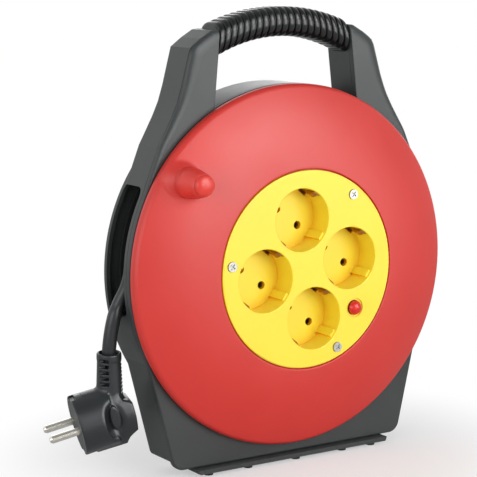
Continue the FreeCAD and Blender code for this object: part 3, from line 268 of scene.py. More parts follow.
# ------------------------------------------------------------------ curves and outlines
def arc_through(start, middle, end, count):
    """points after start up to end on the circle through the three points"""
    (ax, ay), (bx, by), (cx, cy) = start, middle, end
    aa, bb, cc = ax * ax + ay * ay, bx * bx + by * by, cx * cx + cy * cy
    det = 2 * (ax * (by - cy) + bx * (cy - ay) + cx * (ay - by))
    ox = (aa * (by - cy) + bb * (cy - ay) + cc * (ay - by)) / det
    oy = (aa * (cx - bx) + bb * (ax - cx) + cc * (bx - ax)) / det
    radius = math.hypot(ax - ox, ay - oy)
    first, mid, last = (math.atan2(y - oy, x - ox) for x, y in (start, middle, end))

    def turn_after(angle):
        while angle < first:
            angle += 2 * math.pi
        while angle >= first + 2 * math.pi:
            angle -= 2 * math.pi
        return angle

    mid, last = turn_after(mid), turn_after(last)
    if mid > last:
        last -= 2 * math.pi
    angles = [first + (last - first) * k / count for k in range(1, count + 1)]
    return [(ox + radius * math.cos(a), oy + radius * math.sin(a)) for a in angles]


def hermite_weights(u):
    """weights of start, start tangent, end and end tangent"""
    return (2*u**3 - 3*u*u + 1, u**3 - 2*u*u + u, -2*u**3 + 3*u*u, u**3 - u*u)


def catmull(points, per_span):
    """centripetal Catmull-Rom curve through the points"""
    pts = [Vector(p) for p in points]
    pts = [pts[0] * 2 - pts[1]] + pts + [pts[-1] * 2 - pts[-2]]
    out = []
    for i in range(1, len(pts) - 2):
        p0, p1, p2, p3 = pts[i - 1:i + 3]
        d0, d1, d2 = [max(1e-6, (b - a).length) ** 0.5 for a, b in ((p0, p1), (p1, p2), (p2, p3))]
        m1 = (p2 - p1) + d1 * ((p1 - p0) / d0 - (p2 - p0) / (d0 + d1))
        m2 = (p2 - p1) + d1 * ((p3 - p2) / d2 - (p3 - p1) / (d1 + d2))
        for k in range(per_span):
            h00, h10, h01, h11 = hermite_weights(k / per_span)
            out.append(p1 * h00 + m1 * h10 + p2 * h01 + m2 * h11)
    out.append(pts[-2])
    return out


def case_circle_hit(start, end):
    """where the line from start towards end first crosses the round of the case"""
    (x0, z0), (x1, z1) = start, end
    dx, dz = x1 - x0, z1 - z0
    a = dx * dx + dz * dz
    b = 2 * (x0 * dx + (z0 - AXIS_Z) * dz)
    c = x0 * x0 + (z0 - AXIS_Z) ** 2 - CASE_RADIUS * CASE_RADIUS
    t = (-b - math.sqrt(b * b - 4 * a * c)) / (2 * a)
    return (x0 + dx * t, z0 + dz * t)


def on_case_circle(angle):
    return (CASE_RADIUS * math.cos(angle), AXIS_Z + CASE_RADIUS * math.sin(angle))


def fillet(before, corner, after, radius, count):
    """points of a rounded corner between the directions to before and after"""
    corner = np.array(corner)
    v1, v2 = np.array(before) - corner, np.array(after) - corner
    v1, v2 = v1 / np.linalg.norm(v1), v2 / np.linalg.norm(v2)
    half = math.acos(max(-1, min(1, float(v1 @ v2)))) / 2
    reach = radius / math.tan(half)
    bisector = (v1 + v2) / np.linalg.norm(v1 + v2)
    centre = corner + bisector * (radius / math.sin(half))
    a0, a1 = (math.atan2(*(corner + v * reach - centre)[::-1]) for v in (v1, v2))
    while a1 - a0 > math.pi:
        a1 -= 2 * math.pi
    while a1 - a0 < -math.pi:
        a1 += 2 * math.pi
    angles = [a0 + (a1 - a0) * k / count for k in range(count + 1)]
    return [(centre[0] + radius * math.cos(a), centre[1] + radius * math.sin(a)) for a in angles]


def inset(outline, widths):
    """the counter-clockwise outline with each side moved inwards

    widths: per corner, the move of the side before it and of the side after it
    """
    pts = np.array([(p[0], p[1]) for p in outline])
    out = []
    for i, (w1, w2) in enumerate(widths):
        a, b, c = pts[i - 1], pts[i], pts[(i + 1) % len(pts)]
        d1, d2 = b - a, c - b
        d1, d2 = d1 / np.linalg.norm(d1), d2 / np.linalg.norm(d2)
        n1, n2 = np.array((-d1[1], d1[0])), np.array((-d2[1], d2[0]))
        det = n1[0] * n2[1] - n1[1] * n2[0]
        if abs(det) < 0.03:
            # nearly straight: no reliable corner, so move along the mean normal
            normal = n1 + n2
            move = normal / np.linalg.norm(normal) * (w1 + w2) / 2
        else:
            move = np.array(((w1 * n2[1] - w2 * n1[1]) / det, (n1[0] * w2 - n2[0] * w1) / det))
        out.append(b + move)
    return out


def smooth_min(a, b, width):
    """minimum with the join rounded over the given width"""
    h = np.clip(0.5 + 0.5 * (b - a) / width, 0, 1)
    return b * (1 - h) + a * h - width * h * (1 - h)


def smooth_max(a, b, width):
    return -smooth_min(-a, -b, width)


# ------------------------------------------------------------------ surfaces
def ring_faces(rings, count, base=0):
    """quads between successive closed rings of count vertices"""
    faces = []
    for k in range(rings - 1):
        row, above = base + k * count, base + (k + 1) * count
        for i in range(count):
            j = (i + 1) % count
            faces.append((row + i, row + j, above + j, above + i))
    return faces


def revolve(name, profile, segments, centre, material, sharp_deg, closed=True, warp=None):
    """turn a profile about an axis along Y through centre (x, z)

    The profile is a closed loop, or if not closed, a run that starts and ends on the axis.
    """
    cx, cz = centre
    ring = profile if closed else profile[1:-1]
    count = len(ring)
    verts, faces = [], []
    for k in range(segments):
        a = 2 * math.pi * k / segments
        verts += [[cx + r * math.cos(a), y, cz + r * math.sin(a)] for r, y in ring]
    first_pole, last_pole = len(verts), len(verts) + 1
    if not closed:
        verts += [[cx, profile[0][1], cz], [cx, profile[-1][1], cz]]
    for k in range(segments):
        row, following = k * count, (k + 1) % segments * count
        for i in range(count if closed else count - 1):
            j = (i + 1) % count
            faces.append((row + i, row + j, following + j, following + i))
        if not closed:
            faces.append((first_pole, row, following))
            faces.append((last_pole, following + count - 1, row + count - 1))
    verts = np.array(verts)
    if warp:
        verts = warp(verts)
    ob = mesh_object(name, verts * MM, faces, material)
    recalc_normals(ob)
    auto_smooth(ob, sharp_deg)
    return ob


def tube(name, path, radius_at, sides, material):
    """capped round tube; radius_at takes the share of path points passed, 0 to 1"""
    count = len(path)
    tangents = [(path[min(count - 1, i + 1)] - path[max(0, i - 1)]).normalized()
                for i in range(count)]
    side = tangents[0].cross(Vector((0, 1, 0))).normalized()
    up = side.cross(tangents[0]).normalized()
    verts = []
    for i, (point, tangent) in enumerate(zip(path, tangents)):
        up = (up - tangent * up.dot(tangent)).normalized()
        side = tangent.cross(up)
        radius = radius_at(i / (count - 1))
        for k in range(sides):
            a = 2 * math.pi * k / sides
            verts.append(point + (up * math.cos(a) + side * math.sin(a)) * radius)
    faces = ring_faces(count, sides)
    faces.append(tuple(reversed(range(sides))))
    faces.append(tuple((count - 1) * sides + k for k in range(sides)))
    ob = mesh_object(name, [v * MM for v in verts], faces, material)
    recalc_normals(ob)
    auto_smooth(ob, degrees=50)
    return ob


# ------------------------------------------------------------------ drum: front disc
DISC_BORE = 62.9
DISC_INNER_WALL = 65.3
KNOB_SEAT = dict(y=-28.8, radius=9.6, slope=1.6, blend=2.0, reach=24.0)


def build_disc():
    # front skin, from the bore out to the rim
    profile = [(DISC_BORE, -36.3)]
    profile += arc_through(profile[-1], (63.05, -36.65), (63.4, -36.8), 4)
    profile += arc_through(profile[-1], (89.6, -31.9), (112.3, -22.6), 56)
    profile += arc_through(profile[-1], (114.1, -20.4), (CASE_RADIUS, -17.6), 10)
    front_count = len(profile)
    # rim, back of the skin, rear flange and stepped bore
    profile += [(CASE_RADIUS, -16.5), (114.1, -16.0), (111.9, -16.0)]
    profile += arc_through((110.9, -19.6), (89.0, -29.4), (DISC_INNER_WALL, -33.2), 12)
    profile += [(DISC_INNER_WALL, -12.8), (103.0, -12.8), (103.0, -11.2), (DISC_BORE, -11.2),
                (DISC_BORE, -32.4), (59.5, -32.4), (59.5, -34.5), (DISC_BORE, -34.5)]

    def raise_knob_seat(verts):
        """bring the front skin forward to a flat round seat under the knob"""
        seat = KNOB_SEAT
        from_knob = np.hypot(verts[:, 0] - KNOB_XZ[0], verts[:, 2] - KNOB_XZ[1])
        flat = seat["y"] + np.maximum(0.0, from_knob - seat["radius"]) * seat["slope"]
        raised = np.minimum(smooth_min(verts[:, 1], flat, seat["blend"]), verts[:, 1])
        on_front = np.arange(len(verts)) % len(profile) < front_count
        chosen = on_front & (from_knob < seat["reach"])
        verts[chosen, 1] = raised[chosen]
        return verts

    ob = revolve("drum_disc_shell", profile, 512, (0.0, AXIS_Z), MATERIALS["red_plastic"],
                 sharp_deg=32, warp=raise_knob_seat)
    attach(ob, "drum")
    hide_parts("drum_front_disc")


# ------------------------------------------------------------------ crank knob
KNOB_SEGMENTS = 96
KNOB_BORE = 3.06
PIN_RADIUS = 3.0


def build_knob_boss():
    back, front = -22.0, -31.75
    profile = [(KNOB_BORE, back), (9.9, back), (9.85, -27.0), (9.7, -30.6)]
    profile += arc_through(profile[-1], (9.45, -31.4), (8.9, front), 5)
    profile += [(KNOB_BORE, front)]
    ob = revolve("drum_knob_boss", profile, KNOB_SEGMENTS, KNOB_XZ, MATERIALS["red_plastic"],
                 sharp_deg=40)
    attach(ob, "drum")


def build_knob_body():
    back, front = -31.9, -46.35
    profile = [(KNOB_BORE, back), (9.1, back)]
    profile += arc_through(profile[-1], (9.45, -32.05), (9.6, -32.4), 4)
    profile += arc_through(profile[-1], (8.75, -38.4), (7.5, -43.6), 14)
    profile += arc_through(profile[-1], (7.15, -45.3), (6.5, -46.1), 7)
    profile += [(5.9, front), (KNOB_BORE, front)]
    ob = revolve("crank_knob_body", profile, KNOB_SEGMENTS, KNOB_XZ, MATERIALS["knob_red"],
                 sharp_deg=40)
    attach(ob, "knob")
    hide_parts("crank_knob")


def build_knob_cap():
    """domed cap in front of the knob, with the pin running back from it"""
    dome_radius, dome_height, dome_base, pin_end = 6.6, 3.9, -47.0, -17.6
    profile = [(dome_radius * math.sin(a), dome_base - dome_height * math.cos(a) ** 0.8)
               for a in np.linspace(0, math.radians(86), 18)]
    profile += [(6.45, -46.75), (6.1, -46.6), (PIN_RADIUS, -46.6),
                (PIN_RADIUS, pin_end), (0.0, pin_end)]
    ob = revolve("knob_end_cap", profile, KNOB_SEGMENTS, KNOB_XZ, MATERIALS["knob_red"],
                 sharp_deg=50, closed=False)
    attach(ob, "drum")
    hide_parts("knob_pin")


# ------------------------------------------------------------------ housing: front shell
BASE_Z = 5.0
BASE_CORNER = (85.1, BASE_Z)
BASE_SIDE_TOP = (101.8, 73.7)     # where the slanted base side would meet the round
# soft flare from the base side into the round
FLARE_START = (98.496, 60.092)
FLARE_DIRECTION = (0.2362, 0.9717)
FLARE_TANGENT = 27.0
FLARE_TURN_DEG = 7.0
# outer side of the right upright that carries the handle: (x, z) from its shoulder down
UPRIGHT_SIDE = [
    (67.5, 265.0), (70.7, 253.5), (73.7, 242.5), (77.2, 232.0), (81.3, 223.4),
    (86.2, 214.6), (91.0, 206.2), (94.0, 198.8), (106.2, 168.3),
]
UPRIGHT_SLOPE = [(60.0, 270.4), (52.2, 274.9)]    # above the shoulder, going inwards
UPRIGHT_TOP = (47.9, 275.4)       # top of the upright's inner edge
UPRIGHT_INNER_LOW = (56.0, 196.0)    # end of the inner edge's line, inside the round

SHELL_FRONT_Y = -15.0
SHELL_BACK_Y = -11.05
SHELL_INSIDE_Y = -12.5
SHELL_WALL = 2.5
SHELL_BEVEL_STEPS = 8
OPENING_RADIUS = 104.6
OPENING_CHAMFER = 0.4
OPENING_SEGMENTS = 240


def case_outline():
    """closed outline, counter-clockwise from the right of the bottom

    Entries are (x, z, bevel width of the side before, bevel width of the side after).
    """
    half = []

    def add(point, bevel, bevel_after=None):
        half.append((point[0], point[1], bevel, bevel if bevel_after is None else bevel_after))

    def add_round(start, end, count, bevel):
        """points strictly between two angles on the round of the case"""
        for k in range(1, count):
            add(on_case_circle(start + (end - start) * k / count), bevel)

    # base
    add((40.0, BASE_Z), bevel=1.2)
    for p in fillet((0, BASE_Z), BASE_CORNER, BASE_SIDE_TOP, radius=8.0, count=10):
        add(p, bevel=1.4)
    foot_angle = math.atan2(BASE_SIDE_TOP[1] - AXIS_Z, BASE_SIDE_TOP[0])
    flare_end = foot_angle + math.radians(FLARE_TURN_DEG)
    end = on_case_circle(flare_end)
    end_direction = (-math.sin(flare_end), math.cos(flare_end))
    for k in range(9):
        h00, h10, h01, h11 = hermite_weights(k / 8.0)
        add([h00 * FLARE_START[i] + h10 * FLARE_TANGENT * FLARE_DIRECTION[i]
             + h01 * end[i] + h11 * FLARE_TANGENT * end_direction[i] for i in (0, 1)], bevel=1.2)

    # round side, up to the upright
    side_low = case_circle_hit(UPRIGHT_SIDE[-2], UPRIGHT_SIDE[-1])
    add_round(flare_end, math.atan2(side_low[1] - AXIS_Z, side_low[0]), count=40, bevel=1.0)
    add(side_low, bevel=1.0)

    # outer side of the upright, its bevel widening upwards
    shoulder, below_shoulder = UPRIGHT_SIDE[0], UPRIGHT_SIDE[1]
    slope_low, slope_high = UPRIGHT_SLOPE
    for x, z in catmull([side_low] + UPRIGHT_SIDE[-2:0:-1] + [shoulder], 5)[1:-1]:
        if z < 260.0:
            add((x, z), bevel=1.2 + 6.2 * min(1.0, max(0.0, (z - 180.0) / 74.0)) ** 1.35)
    for p in fillet(below_shoulder, shoulder, slope_low, radius=12.0, count=8):
        add(p, bevel=7.4)
    for p in fillet(shoulder, slope_low, slope_high, radius=14.0, count=3):
        add(p, bevel=7.3)
    for p in fillet(slope_low, slope_high, UPRIGHT_TOP, radius=5.0, count=4):
        add(p, bevel=7.0)

    # inner side of the upright, then the round to the top
    add(UPRIGHT_TOP, bevel=6.8, bevel_after=0.6)
    inner_low = case_circle_hit(UPRIGHT_TOP, UPRIGHT_INNER_LOW)
    for u in (0.25, 0.5, 0.75):
        add([a + (b - a) * u for a, b in zip(UPRIGHT_TOP, inner_low)], bevel=0.6)
    add(inner_low, bevel=0.6, bevel_after=0.8)
    add_round(math.atan2(inner_low[1] - AXIS_Z, inner_low[0]), math.pi / 2, count=20, bevel=0.8)

    left = [(-x, z, after, before) for x, z, before, after in reversed(half)]
    return half + [(0.0, AXIS_Z + CASE_RADIUS, 0.8, 0.8)] + left + [(0.0, BASE_Z, 1.2, 1.2)]


def build_front_shell():
    outline = case_outline()
    count = len(outline)
    verts = []

    def add_ring(widths, depths):
        verts.extend((x, y, z) for (x, z), y in zip(inset(outline, widths), depths))

    # inside wall, rear edge, and the outer wall's start
    for width, y in ((SHELL_WALL, SHELL_INSIDE_Y), (SHELL_WALL, SHELL_BACK_Y),
                     (0.35, SHELL_BACK_Y), (0.0, SHELL_BACK_Y - 0.3)):
        add_ring([(width, width)] * count, [y] * count)
    # rounded bevel onto the front face
    bevel_depths = [min(3.7, max(0.7, 0.6 * max(w1, w2))) for _, _, w1, w2 in outline]
    for k in range(SHELL_BEVEL_STEPS + 1):
        a = math.pi / 2 * k / SHELL_BEVEL_STEPS
        share = 1 - math.cos(a)
        add_ring([(w1 * share, w2 * share) for _, _, w1, w2 in outline],
                 [SHELL_FRONT_Y + depth * (1 - math.sin(a)) for depth in bevel_depths])
    rings = len(verts) // count
    opening = len(verts)
    for radius, y in ((OPENING_RADIUS + OPENING_CHAMFER, SHELL_FRONT_Y),
                      (OPENING_RADIUS, SHELL_FRONT_Y + OPENING_CHAMFER),
                      (OPENING_RADIUS, SHELL_INSIDE_Y)):
        for k in range(OPENING_SEGMENTS):
            a = 2 * math.pi * k / OPENING_SEGMENTS
            verts.append((radius * math.cos(a), y, AXIS_Z + radius * math.sin(a)))
    faces = ring_faces(rings, count) + ring_faces(3, OPENING_SEGMENTS, base=opening)
    ob = mesh_object("housing_front_shell", np.array(verts) * MM, faces,
                     MATERIALS["housing_plastic"])

    # fill the front and the back between the outline and the opening
    with edited(ob) as bm:
        bm.verts.ensure_lookup_table()

        def loop_edges(start, size):
            return [bm.edges.get((bm.verts[start + i], bm.verts[start + (i + 1) % size]))
                    for i in range(size)]

        front = loop_edges((rings - 1) * count, count) + loop_edges(opening, OPENING_SEGMENTS)
        back = loop_edges(0, count) + loop_edges(opening + 2 * OPENING_SEGMENTS,
                                                 OPENING_SEGMENTS)
        for edges in (front, back):
            bmesh.ops.triangle_fill(bm, use_beauty=True, use_dissolve=False, edges=edges)
        bmesh.ops.recalc_face_normals(bm, faces=bm.faces)
        mark_sharp(bm, degrees=24)
        for edge in front + back:
            edge.smooth = False
    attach(ob, "housing")
    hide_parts("front_housing")


# ------------------------------------------------------------------ handle sleeve
GRIP_ARC_RADIUS = 116.2
GRIP_ARC_Z = 162.4
GRIP_Y = -1.0
GRIP_SIDES = 72
GRIP_RIBS = 21
GRIP_STEPS_PER_RIB = 14
GRIP_END_X = 47.75      # inner face of the upright at its top
GRIP_END_SLOPE = 0.102      # how far that face spreads per mm downwards
GRIP_END_GAP = 0.15


def rounded_section(half_a, half_b, corner, count):
    """points of a rounded rectangle given its half sizes and corner radius"""
    pts = []
    per_corner = count // 4
    for sign_a, sign_b, start in ((1, 1, 0), (-1, 1, 90), (-1, -1, 180), (1, -1, 270)):
        for k in range(per_corner):
            t = math.radians(start + 90.0 * (k + 0.5) / per_corner)
            pts.append((sign_a * (half_a - corner) + corner * math.cos(t),
                        sign_b * (half_b - corner) + corner * math.sin(t)))
    return pts


def rib_height(u):
    """height over one rib, u from 0 to 1: groove, steep side, crowned top, falling side"""
    if u < 0.16:
        return 0.0
    if u < 0.26:
        return math.sin((u - 0.16) / 0.10 * math.pi / 2)
    if u < 0.90:
        return 1.0 - 0.16 * ((u - 0.55) / 0.35) ** 2
    return max(0.0, 0.86 * math.cos((u - 0.90) / 0.10 * math.pi / 2))


def grip_end_angle(radius):
    """angle from the top at which an arc of this radius meets the upright"""
    angle = math.asin(48.5 / radius)
    for _ in range(4):
        z = GRIP_ARC_Z + radius * math.cos(angle)
        end_x = GRIP_END_X + GRIP_END_SLOPE * max(0.0, UPRIGHT_TOP[1] - z) - GRIP_END_GAP
        angle = math.asin(end_x / radius)
    return angle


def build_grip():
    # sections are (along the arc's radius, along y)
    crest = rounded_section(9.3, 13.0, corner=8.6, count=GRIP_SIDES)
    groove = rounded_section(7.9, 11.6, corner=7.3, count=GRIP_SIDES)
    stations = []     # (place along the grip 0 to 1, rib height)
    for k in range(GRIP_RIBS):
        for j in range(GRIP_STEPS_PER_RIB):
            u = j / GRIP_STEPS_PER_RIB
            stations.append(((k + u) / GRIP_RIBS, rib_height(u)))
    stations.append((1.0, 0.0))
    verts = []
    for place, height in stations:
        for low, high in zip(groove, crest):
            radius = GRIP_ARC_RADIUS + (low[0] + (high[0] - low[0]) * height)
            y = GRIP_Y + (low[1] + (high[1] - low[1]) * height)
            a = (-1 + 2 * place) * grip_end_angle(radius)
            verts.append((radius * math.sin(a), y, GRIP_ARC_Z + radius * math.cos(a)))
    faces = ring_faces(len(stations), GRIP_SIDES)
    faces.append(tuple(range(GRIP_SIDES)))
    faces.append(tuple((len(stations) - 1) * GRIP_SIDES + i for i in reversed(range(GRIP_SIDES))))
    ob = mesh_object("grip_ribbed_sleeve", np.array(verts) * MM, faces, MATERIALS["grip_rubber"])
    recalc_normals(ob)
    auto_smooth(ob, degrees=48)
    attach(ob, "housing")
    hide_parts("handle_grip_sleeve")


# ------------------------------------------------------------------ hanging cord
CORD_SWING = Vector((-114.1, 0.4, 111.0))     # where the cord starts to follow the plug
INNER_RUN_RADIUS = 107.8
# (x, y, z) from the case down to the swing point, and on into the plug's boot
CORD_TO_SWING = [(-107.9, -3.2, 129.0), (-109.6, -1.4, 121.0)]
CORD_TO_PLUG = [
    (-117.0, 0.2, 104.2), (-118.8, 0.9, 96.0), (-119.8, 1.7, 88.0),
    (-120.071, 2.498, 81.640), (-119.875, 2.958, 75.661),
]


def ease(v):
    v = min(1.0, max(0.0, v))
    return v * v * (3 - 2 * v)


def cord_radius(u):
    """the hanging part is a little thicker than the runs in the case and in the boot"""
    return 4.0 + 0.35 * min(ease((u - 0.69) / 0.05), ease((0.966 - u) / 0.03))


def build_cord():
    points = []
    for a in np.radians(np.linspace(136, 172, 9)):
        points.append((INNER_RUN_RADIUS * math.cos(a), -4.2,
                       AXIS_Z + INNER_RUN_RADIUS * math.sin(a)))
    points += CORD_TO_SWING + [tuple(CORD_SWING)] + CORD_TO_PLUG
    ob = tube("supply_cord", catmull(points, 14), cord_radius, 28, MATERIALS["cord_sheath"])
    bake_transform(ob)
    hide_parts("cord_outlet_run", "cord_tail")


# ------------------------------------------------------------------ plug body
# The plug is drawn in its own frame: pin face at x = 0, body towards -x, cord boot towards +z.
PLUG_MATRIX = Matrix.Translation(Vector((-138.93, 11.32, 36.81)) * MM) @ Quaternion(
    (0.132831, -0.125098, -0.024997, 0.982894)).to_matrix().to_4x4()
# side view of the part behind the barrel: (distance behind the face, z)
PLUG_REAR_SIDE = [
    (8.0, -18.7), (27.2, -19.6), (28.0, -17.4), (29.4, -15.0), (31.8, -13.2), (35.0, -11.4),
    (35.6, -2.0), (35.6, 6.8), (33.4, 8.6), (30.5, 10.0), (27.5, 15.0), (22.0, 18.0), (8.0, 18.2),
]
BOOT_TILT = math.radians(13.2)
BOOT_ROOT_X = -21.6
BOOT_LENGTH = 39.8
BOOT_ROOT_RADIUS = 8.8
BOOT_TOP_RADIUS = 7.25
CORD_BORE_START = 33.8


def length(*parts):
    return np.sqrt(sum(v * v for v in parts))


def between(v, low, high):
    """distance outside the slab low < v < high, negative inside"""
    return np.maximum(low - v, v - high)


def polygon_distance(px, pz, points):
    """signed distance to a polygon on a grid, negative inside"""
    squared = np.full(np.broadcast(px, pz).shape, 1e9, np.float32)
    inside = np.zeros(squared.shape, bool)
    for (x0, z0), (x1, z1) in zip(points, points[1:] + points[:1]):
        ex, ez = x1 - x0, z1 - z0
        wx, wz = px - x0, pz - z0
        t = np.clip((wx * ex + wz * ez) / (ex * ex + ez * ez), 0, 1)
        squared = np.minimum(squared, (wx - ex * t) ** 2 + (wz - ez * t) ** 2)
        crosses = ((z0 <= pz) & (z1 > pz)) | ((z1 <= pz) & (z0 > pz))
        cross_x = x0 + (pz - z0) / (z1 - z0 if z1 != z0 else 1e-9) * ex
        inside ^= crosses & (px < cross_x)
    distance = np.sqrt(squared)
    return np.where(inside, -distance, distance)


def plug_head(behind, y, z):
    """round barrel, rear part, finger recesses and their oval pads"""
    barrel_radius = 18.9 - 0.02 * np.clip(behind, 0, 21)
    barrel = smooth_max(length(y, z) - barrel_radius, between(behind, 0, 22.5), 1.2)
    rear_width = 13.2 - 0.024 * (z + 2.0) ** 2 - 0.08 * np.clip(behind - 24.0, 0, 20)
    rear = smooth_max(polygon_distance(behind, z, PLUG_REAR_SIDE), np.abs(y) - rear_width, 1.6)
    head = smooth_min(barrel, rear, 1.8)
    dish = (length((behind - 22.4) / 6.6, (np.abs(y) - 18.2) / 8.6, (z - 0.6) / 15.0) - 1.0) * 6.2
    head = smooth_max(head, -dish, 2.0)
    oval = (length((behind - 22.6) / 3.1, (z - 1.7) / 7.8) - 1.0) * 3.1
    pad = smooth_max(oval, np.abs(y) - 12.9 + 0.10 * (behind - 22.6), 1.0)
    pad = smooth_max(pad, 5.0 - np.abs(y), 0.1)
    return smooth_min(head, pad, 0.5)


def cord_boot(along, across, y):
    """tapered sleeve for the cord, with a bead at its top, slots and nicks"""
    radial = length(across, y)
    taper = BOOT_ROOT_RADIUS - BOOT_TOP_RADIUS
    radius = BOOT_ROOT_RADIUS - taper * np.clip(along / BOOT_LENGTH, 0, 1)
    boot = smooth_max(radial - radius, between(along, 0, BOOT_LENGTH), 0.8)
    bead = smooth_max(radial - 7.55, np.abs(along - 37.6) - 2.2, 1.2)
    boot = smooth_min(boot, bead, 0.8)
    for k in range(5):
        slot_along = np.abs(along - (36.2 - 3.65 * k)) - 1.05
        for side in (1, -1):
            slot_across = np.abs(across - side * 4.2) - 2.4
            slot = np.maximum(np.maximum(slot_along, slot_across), 3.0 - side * y)
            boot = smooth_max(boot, -slot, 0.25)
    for k in range(9):
        nick = np.maximum(np.abs(along - (33.6 - 2.3 * k)) - 0.6, 6.2 + across)
        boot = smooth_max(boot, -nick, 0.25)
    return boot


def plug_distance(x, y, z):
    """signed distance to the moulded plug body, negative inside"""
    behind = -x
    rx = x - BOOT_ROOT_X
    sin_tilt, cos_tilt = math.sin(BOOT_TILT), math.cos(BOOT_TILT)
    along = rx * -sin_tilt + z * cos_tilt
    across = rx * cos_tilt + z * sin_tilt
    body = smooth_min(plug_head(behind, y, z), cord_boot(along, across, y), 2.2)
    # cord bore, widening upwards, with a round bottom
    bore_radius = 4.3 + 0.34 * np.clip(along - CORD_BORE_START, 0, 7)
    bore = np.maximum(length(across, y) - bore_radius, between(along, CORD_BORE_START, 41))
    bottom = length(across, y, along - CORD_BORE_START) - 4.4
    body = smooth_max(body, -np.minimum(bore, bottom), 0.3)
    # recess in the face
    recess = np.maximum(length(y, z) - 15.6, between(behind, -2.0, 6.0))
    body = smooth_max(body, -recess, 0.35)
    # two pin seats, and an earth channel above and below
    for side, channel_depth in ((1, 3.0), (-1, 12.0)):
        seat = np.maximum(length(y - side * 9.5, z) - 2.5, behind - 14.0)
        body = np.maximum(body, -seat)
        channel = np.maximum(np.maximum(np.abs(y) - 4.6, 16.4 - side * z),
                             between(behind, -3.0, channel_depth))
        body = smooth_max(body, -channel, 0.3)
    return body


def mesh_from_distance(name, low, high, step, distance, material, matrix):
    """closed mesh of the zero level of distance(x, y, z) over the box from low to high"""
    import openvdb
    counts = [int(math.ceil((b - a) / step)) + 1 for a, b in zip(low, high)]
    x, y, z = ((a + np.arange(n) * step).astype(np.float32) for a, n in zip(low, counts))
    values = distance(x[:, None, None], y[None, :, None], z[None, None, :]).astype(np.float32)
    band = 3 * step
    grid = openvdb.FloatGrid(band)
    grid.copyFromArray(np.clip(values, -band, band))
    points, triangles, quads = grid.convertToPolygons(isovalue=0.0, adaptivity=0.0)
    faces = [tuple(int(i) for i in face) for group in (triangles, quads) for face in group]
    ob = mesh_object(name, (points * step + np.array(low)) * MM, faces, material)
    ob.data.transform(matrix)
    recalc_normals(ob)
    return ob


def build_plug():
    ob = mesh_from_distance("plug_moulded_body", low=(-38.0, -20.5, -21.0), high=(2.0, 20.5, 44.0),
                            step=0.32, distance=plug_distance,
                            material=MATERIALS["plug_rubber"], matrix=PLUG_MATRIX)
    auto_smooth(ob, degrees=45)
    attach(ob, "plug")
    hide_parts("plug_body")


# ------------------------------------------------------------------ camera
def add_camera():
    """camera in front and to the left, a little above the middle"""
    yaw, pitch, roll = (math.radians(a) for a in (31.796, 9.194, -0.703))
    back = Vector((-math.sin(yaw) * math.cos(pitch), -math.cos(yaw) * math.cos(pitch),
                   math.sin(pitch)))
    level = Vector((math.cos(yaw), -math.sin(yaw), 0))
    upright = Vector((math.sin(yaw) * math.sin(pitch), math.cos(yaw) * math.sin(pitch),
                      math.cos(pitch)))
    c, s = math.cos(roll), math.sin(roll)
    right, up = c * level + s * upright, -s * level + c * upright
    data = bpy.data.cameras.new("camera")
    data.sensor_width = 36.0
    data.lens = 139.773585
    data.clip_start, data.clip_end = 0.05, 20.0
    ob = link(bpy.data.objects.new("camera", data))
    rotation = Matrix((right, up, back)).transposed().to_4x4()
    ob.matrix_world = Matrix.Translation((-0.63310, -0.97643, 0.32953)) @ rotation
    SCENE.camera = ob


# ------------------------------------------------------------------ world, floor and lights
def add_world():
    """white for the camera; as light, bright behind the object, dimmer in front and overhead"""
    world = bpy.data.worlds.new("studio")
    SCENE.world = world
    world.use_nodes = True
    tree = world.node_tree
    tree.nodes.clear()
    output = add_node(tree, "OutputWorld")
    background = add_node(tree, "Background", {"Color": (1.0, 1.0, 1.0, 1)})
    coords = add_node(tree, "TexCoord").outputs["Generated"]
    direction = add_node(tree, "SeparateXYZ", {0: coords})
    front_to_back = map_range(tree, direction.outputs["Y"], source=(-0.35, 0.35),
                              target=(0.5, 0.95), interpolation_type="SMOOTHSTEP")
    side_to_top = map_range(tree, direction.outputs["Z"], source=(0.35, 0.95),
                            target=(1.0, 0.45), interpolation_type="SMOOTHSTEP")
    room = add_node(tree, "Math", {0: front_to_back, 1: side_to_top}, operation="MULTIPLY")
    seen = add_node(tree, "LightPath").outputs["Is Camera Ray"]
    strength = add_node(tree, "Mix", {"B": 1.0, "Factor": seen, "A": room.outputs[0]},
                        data_type="FLOAT")
    feed(background, {"Strength": strength.outputs["Result"]})
    feed(output, {0: background.outputs[0]})


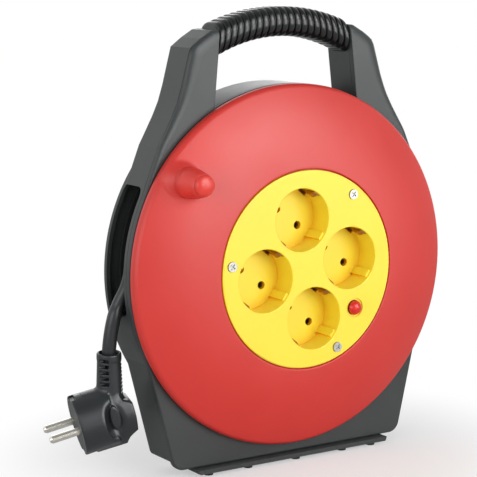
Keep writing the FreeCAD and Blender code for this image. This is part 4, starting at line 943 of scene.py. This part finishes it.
def floor_paper():
    """matt paper; for the camera only, lighter and fading to white away from the object"""
    material, tree, shader, output = new_material("floor_paper")
    seen = add_node(tree, "LightPath").outputs["Is Camera Ray"]
    color = add_node(tree, "Mix", {
        "A": (0.66, 0.66, 0.66, 1), "B": (0.97, 0.97, 0.97, 1), "Factor": seen}, data_type="RGBA")
    noise = add_node(tree, "TexNoise", {"Scale": 300.0}).outputs["Fac"]
    relief = add_node(tree, "Bump", {"Strength": 0.05, "Distance": 0.0005, "Height": noise})
    feed(shader, {"Base Color": color.outputs["Result"], "Normal": relief.outputs[0],
                  "Roughness": 0.95, "Specular IOR Level": 0.1})
    position = add_node(tree, "NewGeometry").outputs["Position"]
    from_origin = add_node(tree, "VectorMath", {0: position}, operation="LENGTH")
    fade = map_range(tree, from_origin.outputs["Value"], source=(0.09, 0.21), target=(0.45, 1.0),
                     interpolation_type="SMOOTHSTEP")
    share = add_node(tree, "Math", {0: fade, 1: seen}, operation="MULTIPLY").outputs[0]
    white = add_node(tree, "Emission", {"Strength": 1.0}).outputs[0]
    mixed = add_node(tree, "MixShader", {0: share, 1: shader.outputs[0], 2: white})
    feed(output, {0: mixed.outputs[0]})
    return material


def add_floor():
    """flat floor in two strips, running away from the camera"""
    heading = math.radians(31.8)
    away = Vector((math.sin(heading), math.cos(heading), 0))
    side = Vector((away.y, -away.x, 0))
    half_width = 2.5
    verts = []
    for distance in (-1.4, 0.55, 0.75):
        for offset in (-half_width, half_width):
            p = away * distance + side * offset
            verts.append((p.x, p.y, 0.0))
    faces = [(2 * i, 2 * i + 1, 2 * i + 3, 2 * i + 2) for i in range(2)]
    mesh_object("floor", verts, faces, floor_paper())


def area_light(name, place, target, size, power, size_y=None, diffuse=True):
    light = bpy.data.lights.new(name, "AREA")
    light.energy = power
    light.size = size
    if size_y:
        light.shape = "RECTANGLE"
        light.size_y = size_y
    ob = link(bpy.data.objects.new(name, light))
    aim = (Vector(target) - Vector(place)).to_track_quat("-Z", "Y")
    ob.matrix_world = Matrix.Translation(place) @ aim.to_matrix().to_4x4()
    ob.visible_diffuse = diffuse


def add_lights():
    """key and left fill light the surfaces; the other panels only give reflections"""
    area_light("key_softbox", place=(0.42, -1.45, 0.42), target=(0, 0, 0.13),
               size=1.3, size_y=1.0, power=15.0)
    area_light("sheen_panel", place=(0.30, -1.25, 0.98), target=(0, 0, 0.2),
               size=1.3, size_y=0.8, power=13.0, diffuse=False)
    area_light("low_panel", place=(0.95, -1.15, 0.20), target=(0, 0, 0.2),
               size=0.8, size_y=0.4, power=2.4, diffuse=False)
    area_light("rear_panel", place=(0.78, 1.25, 0.46), target=(0, 0, 0.24),
               size=1.3, size_y=0.6, power=5.0, diffuse=False)
    area_light("left_fill", place=(-1.5, -0.55, 0.42), target=(0, 0, 0.14), size=1.2, power=9.0)


def set_view():
    SCENE.view_settings.view_transform = "Standard"
    SCENE.view_settings.look = "None"
    SCENE.view_settings.exposure = 0.0


dress_cad_pieces()
build_disc()
build_knob_boss()
build_knob_body()
build_knob_cap()
build_front_shell()
build_grip()
build_cord()
build_plug()
add_camera()
add_world()
add_floor()
add_lights()
set_view()

bpy.context.view_layer.update()
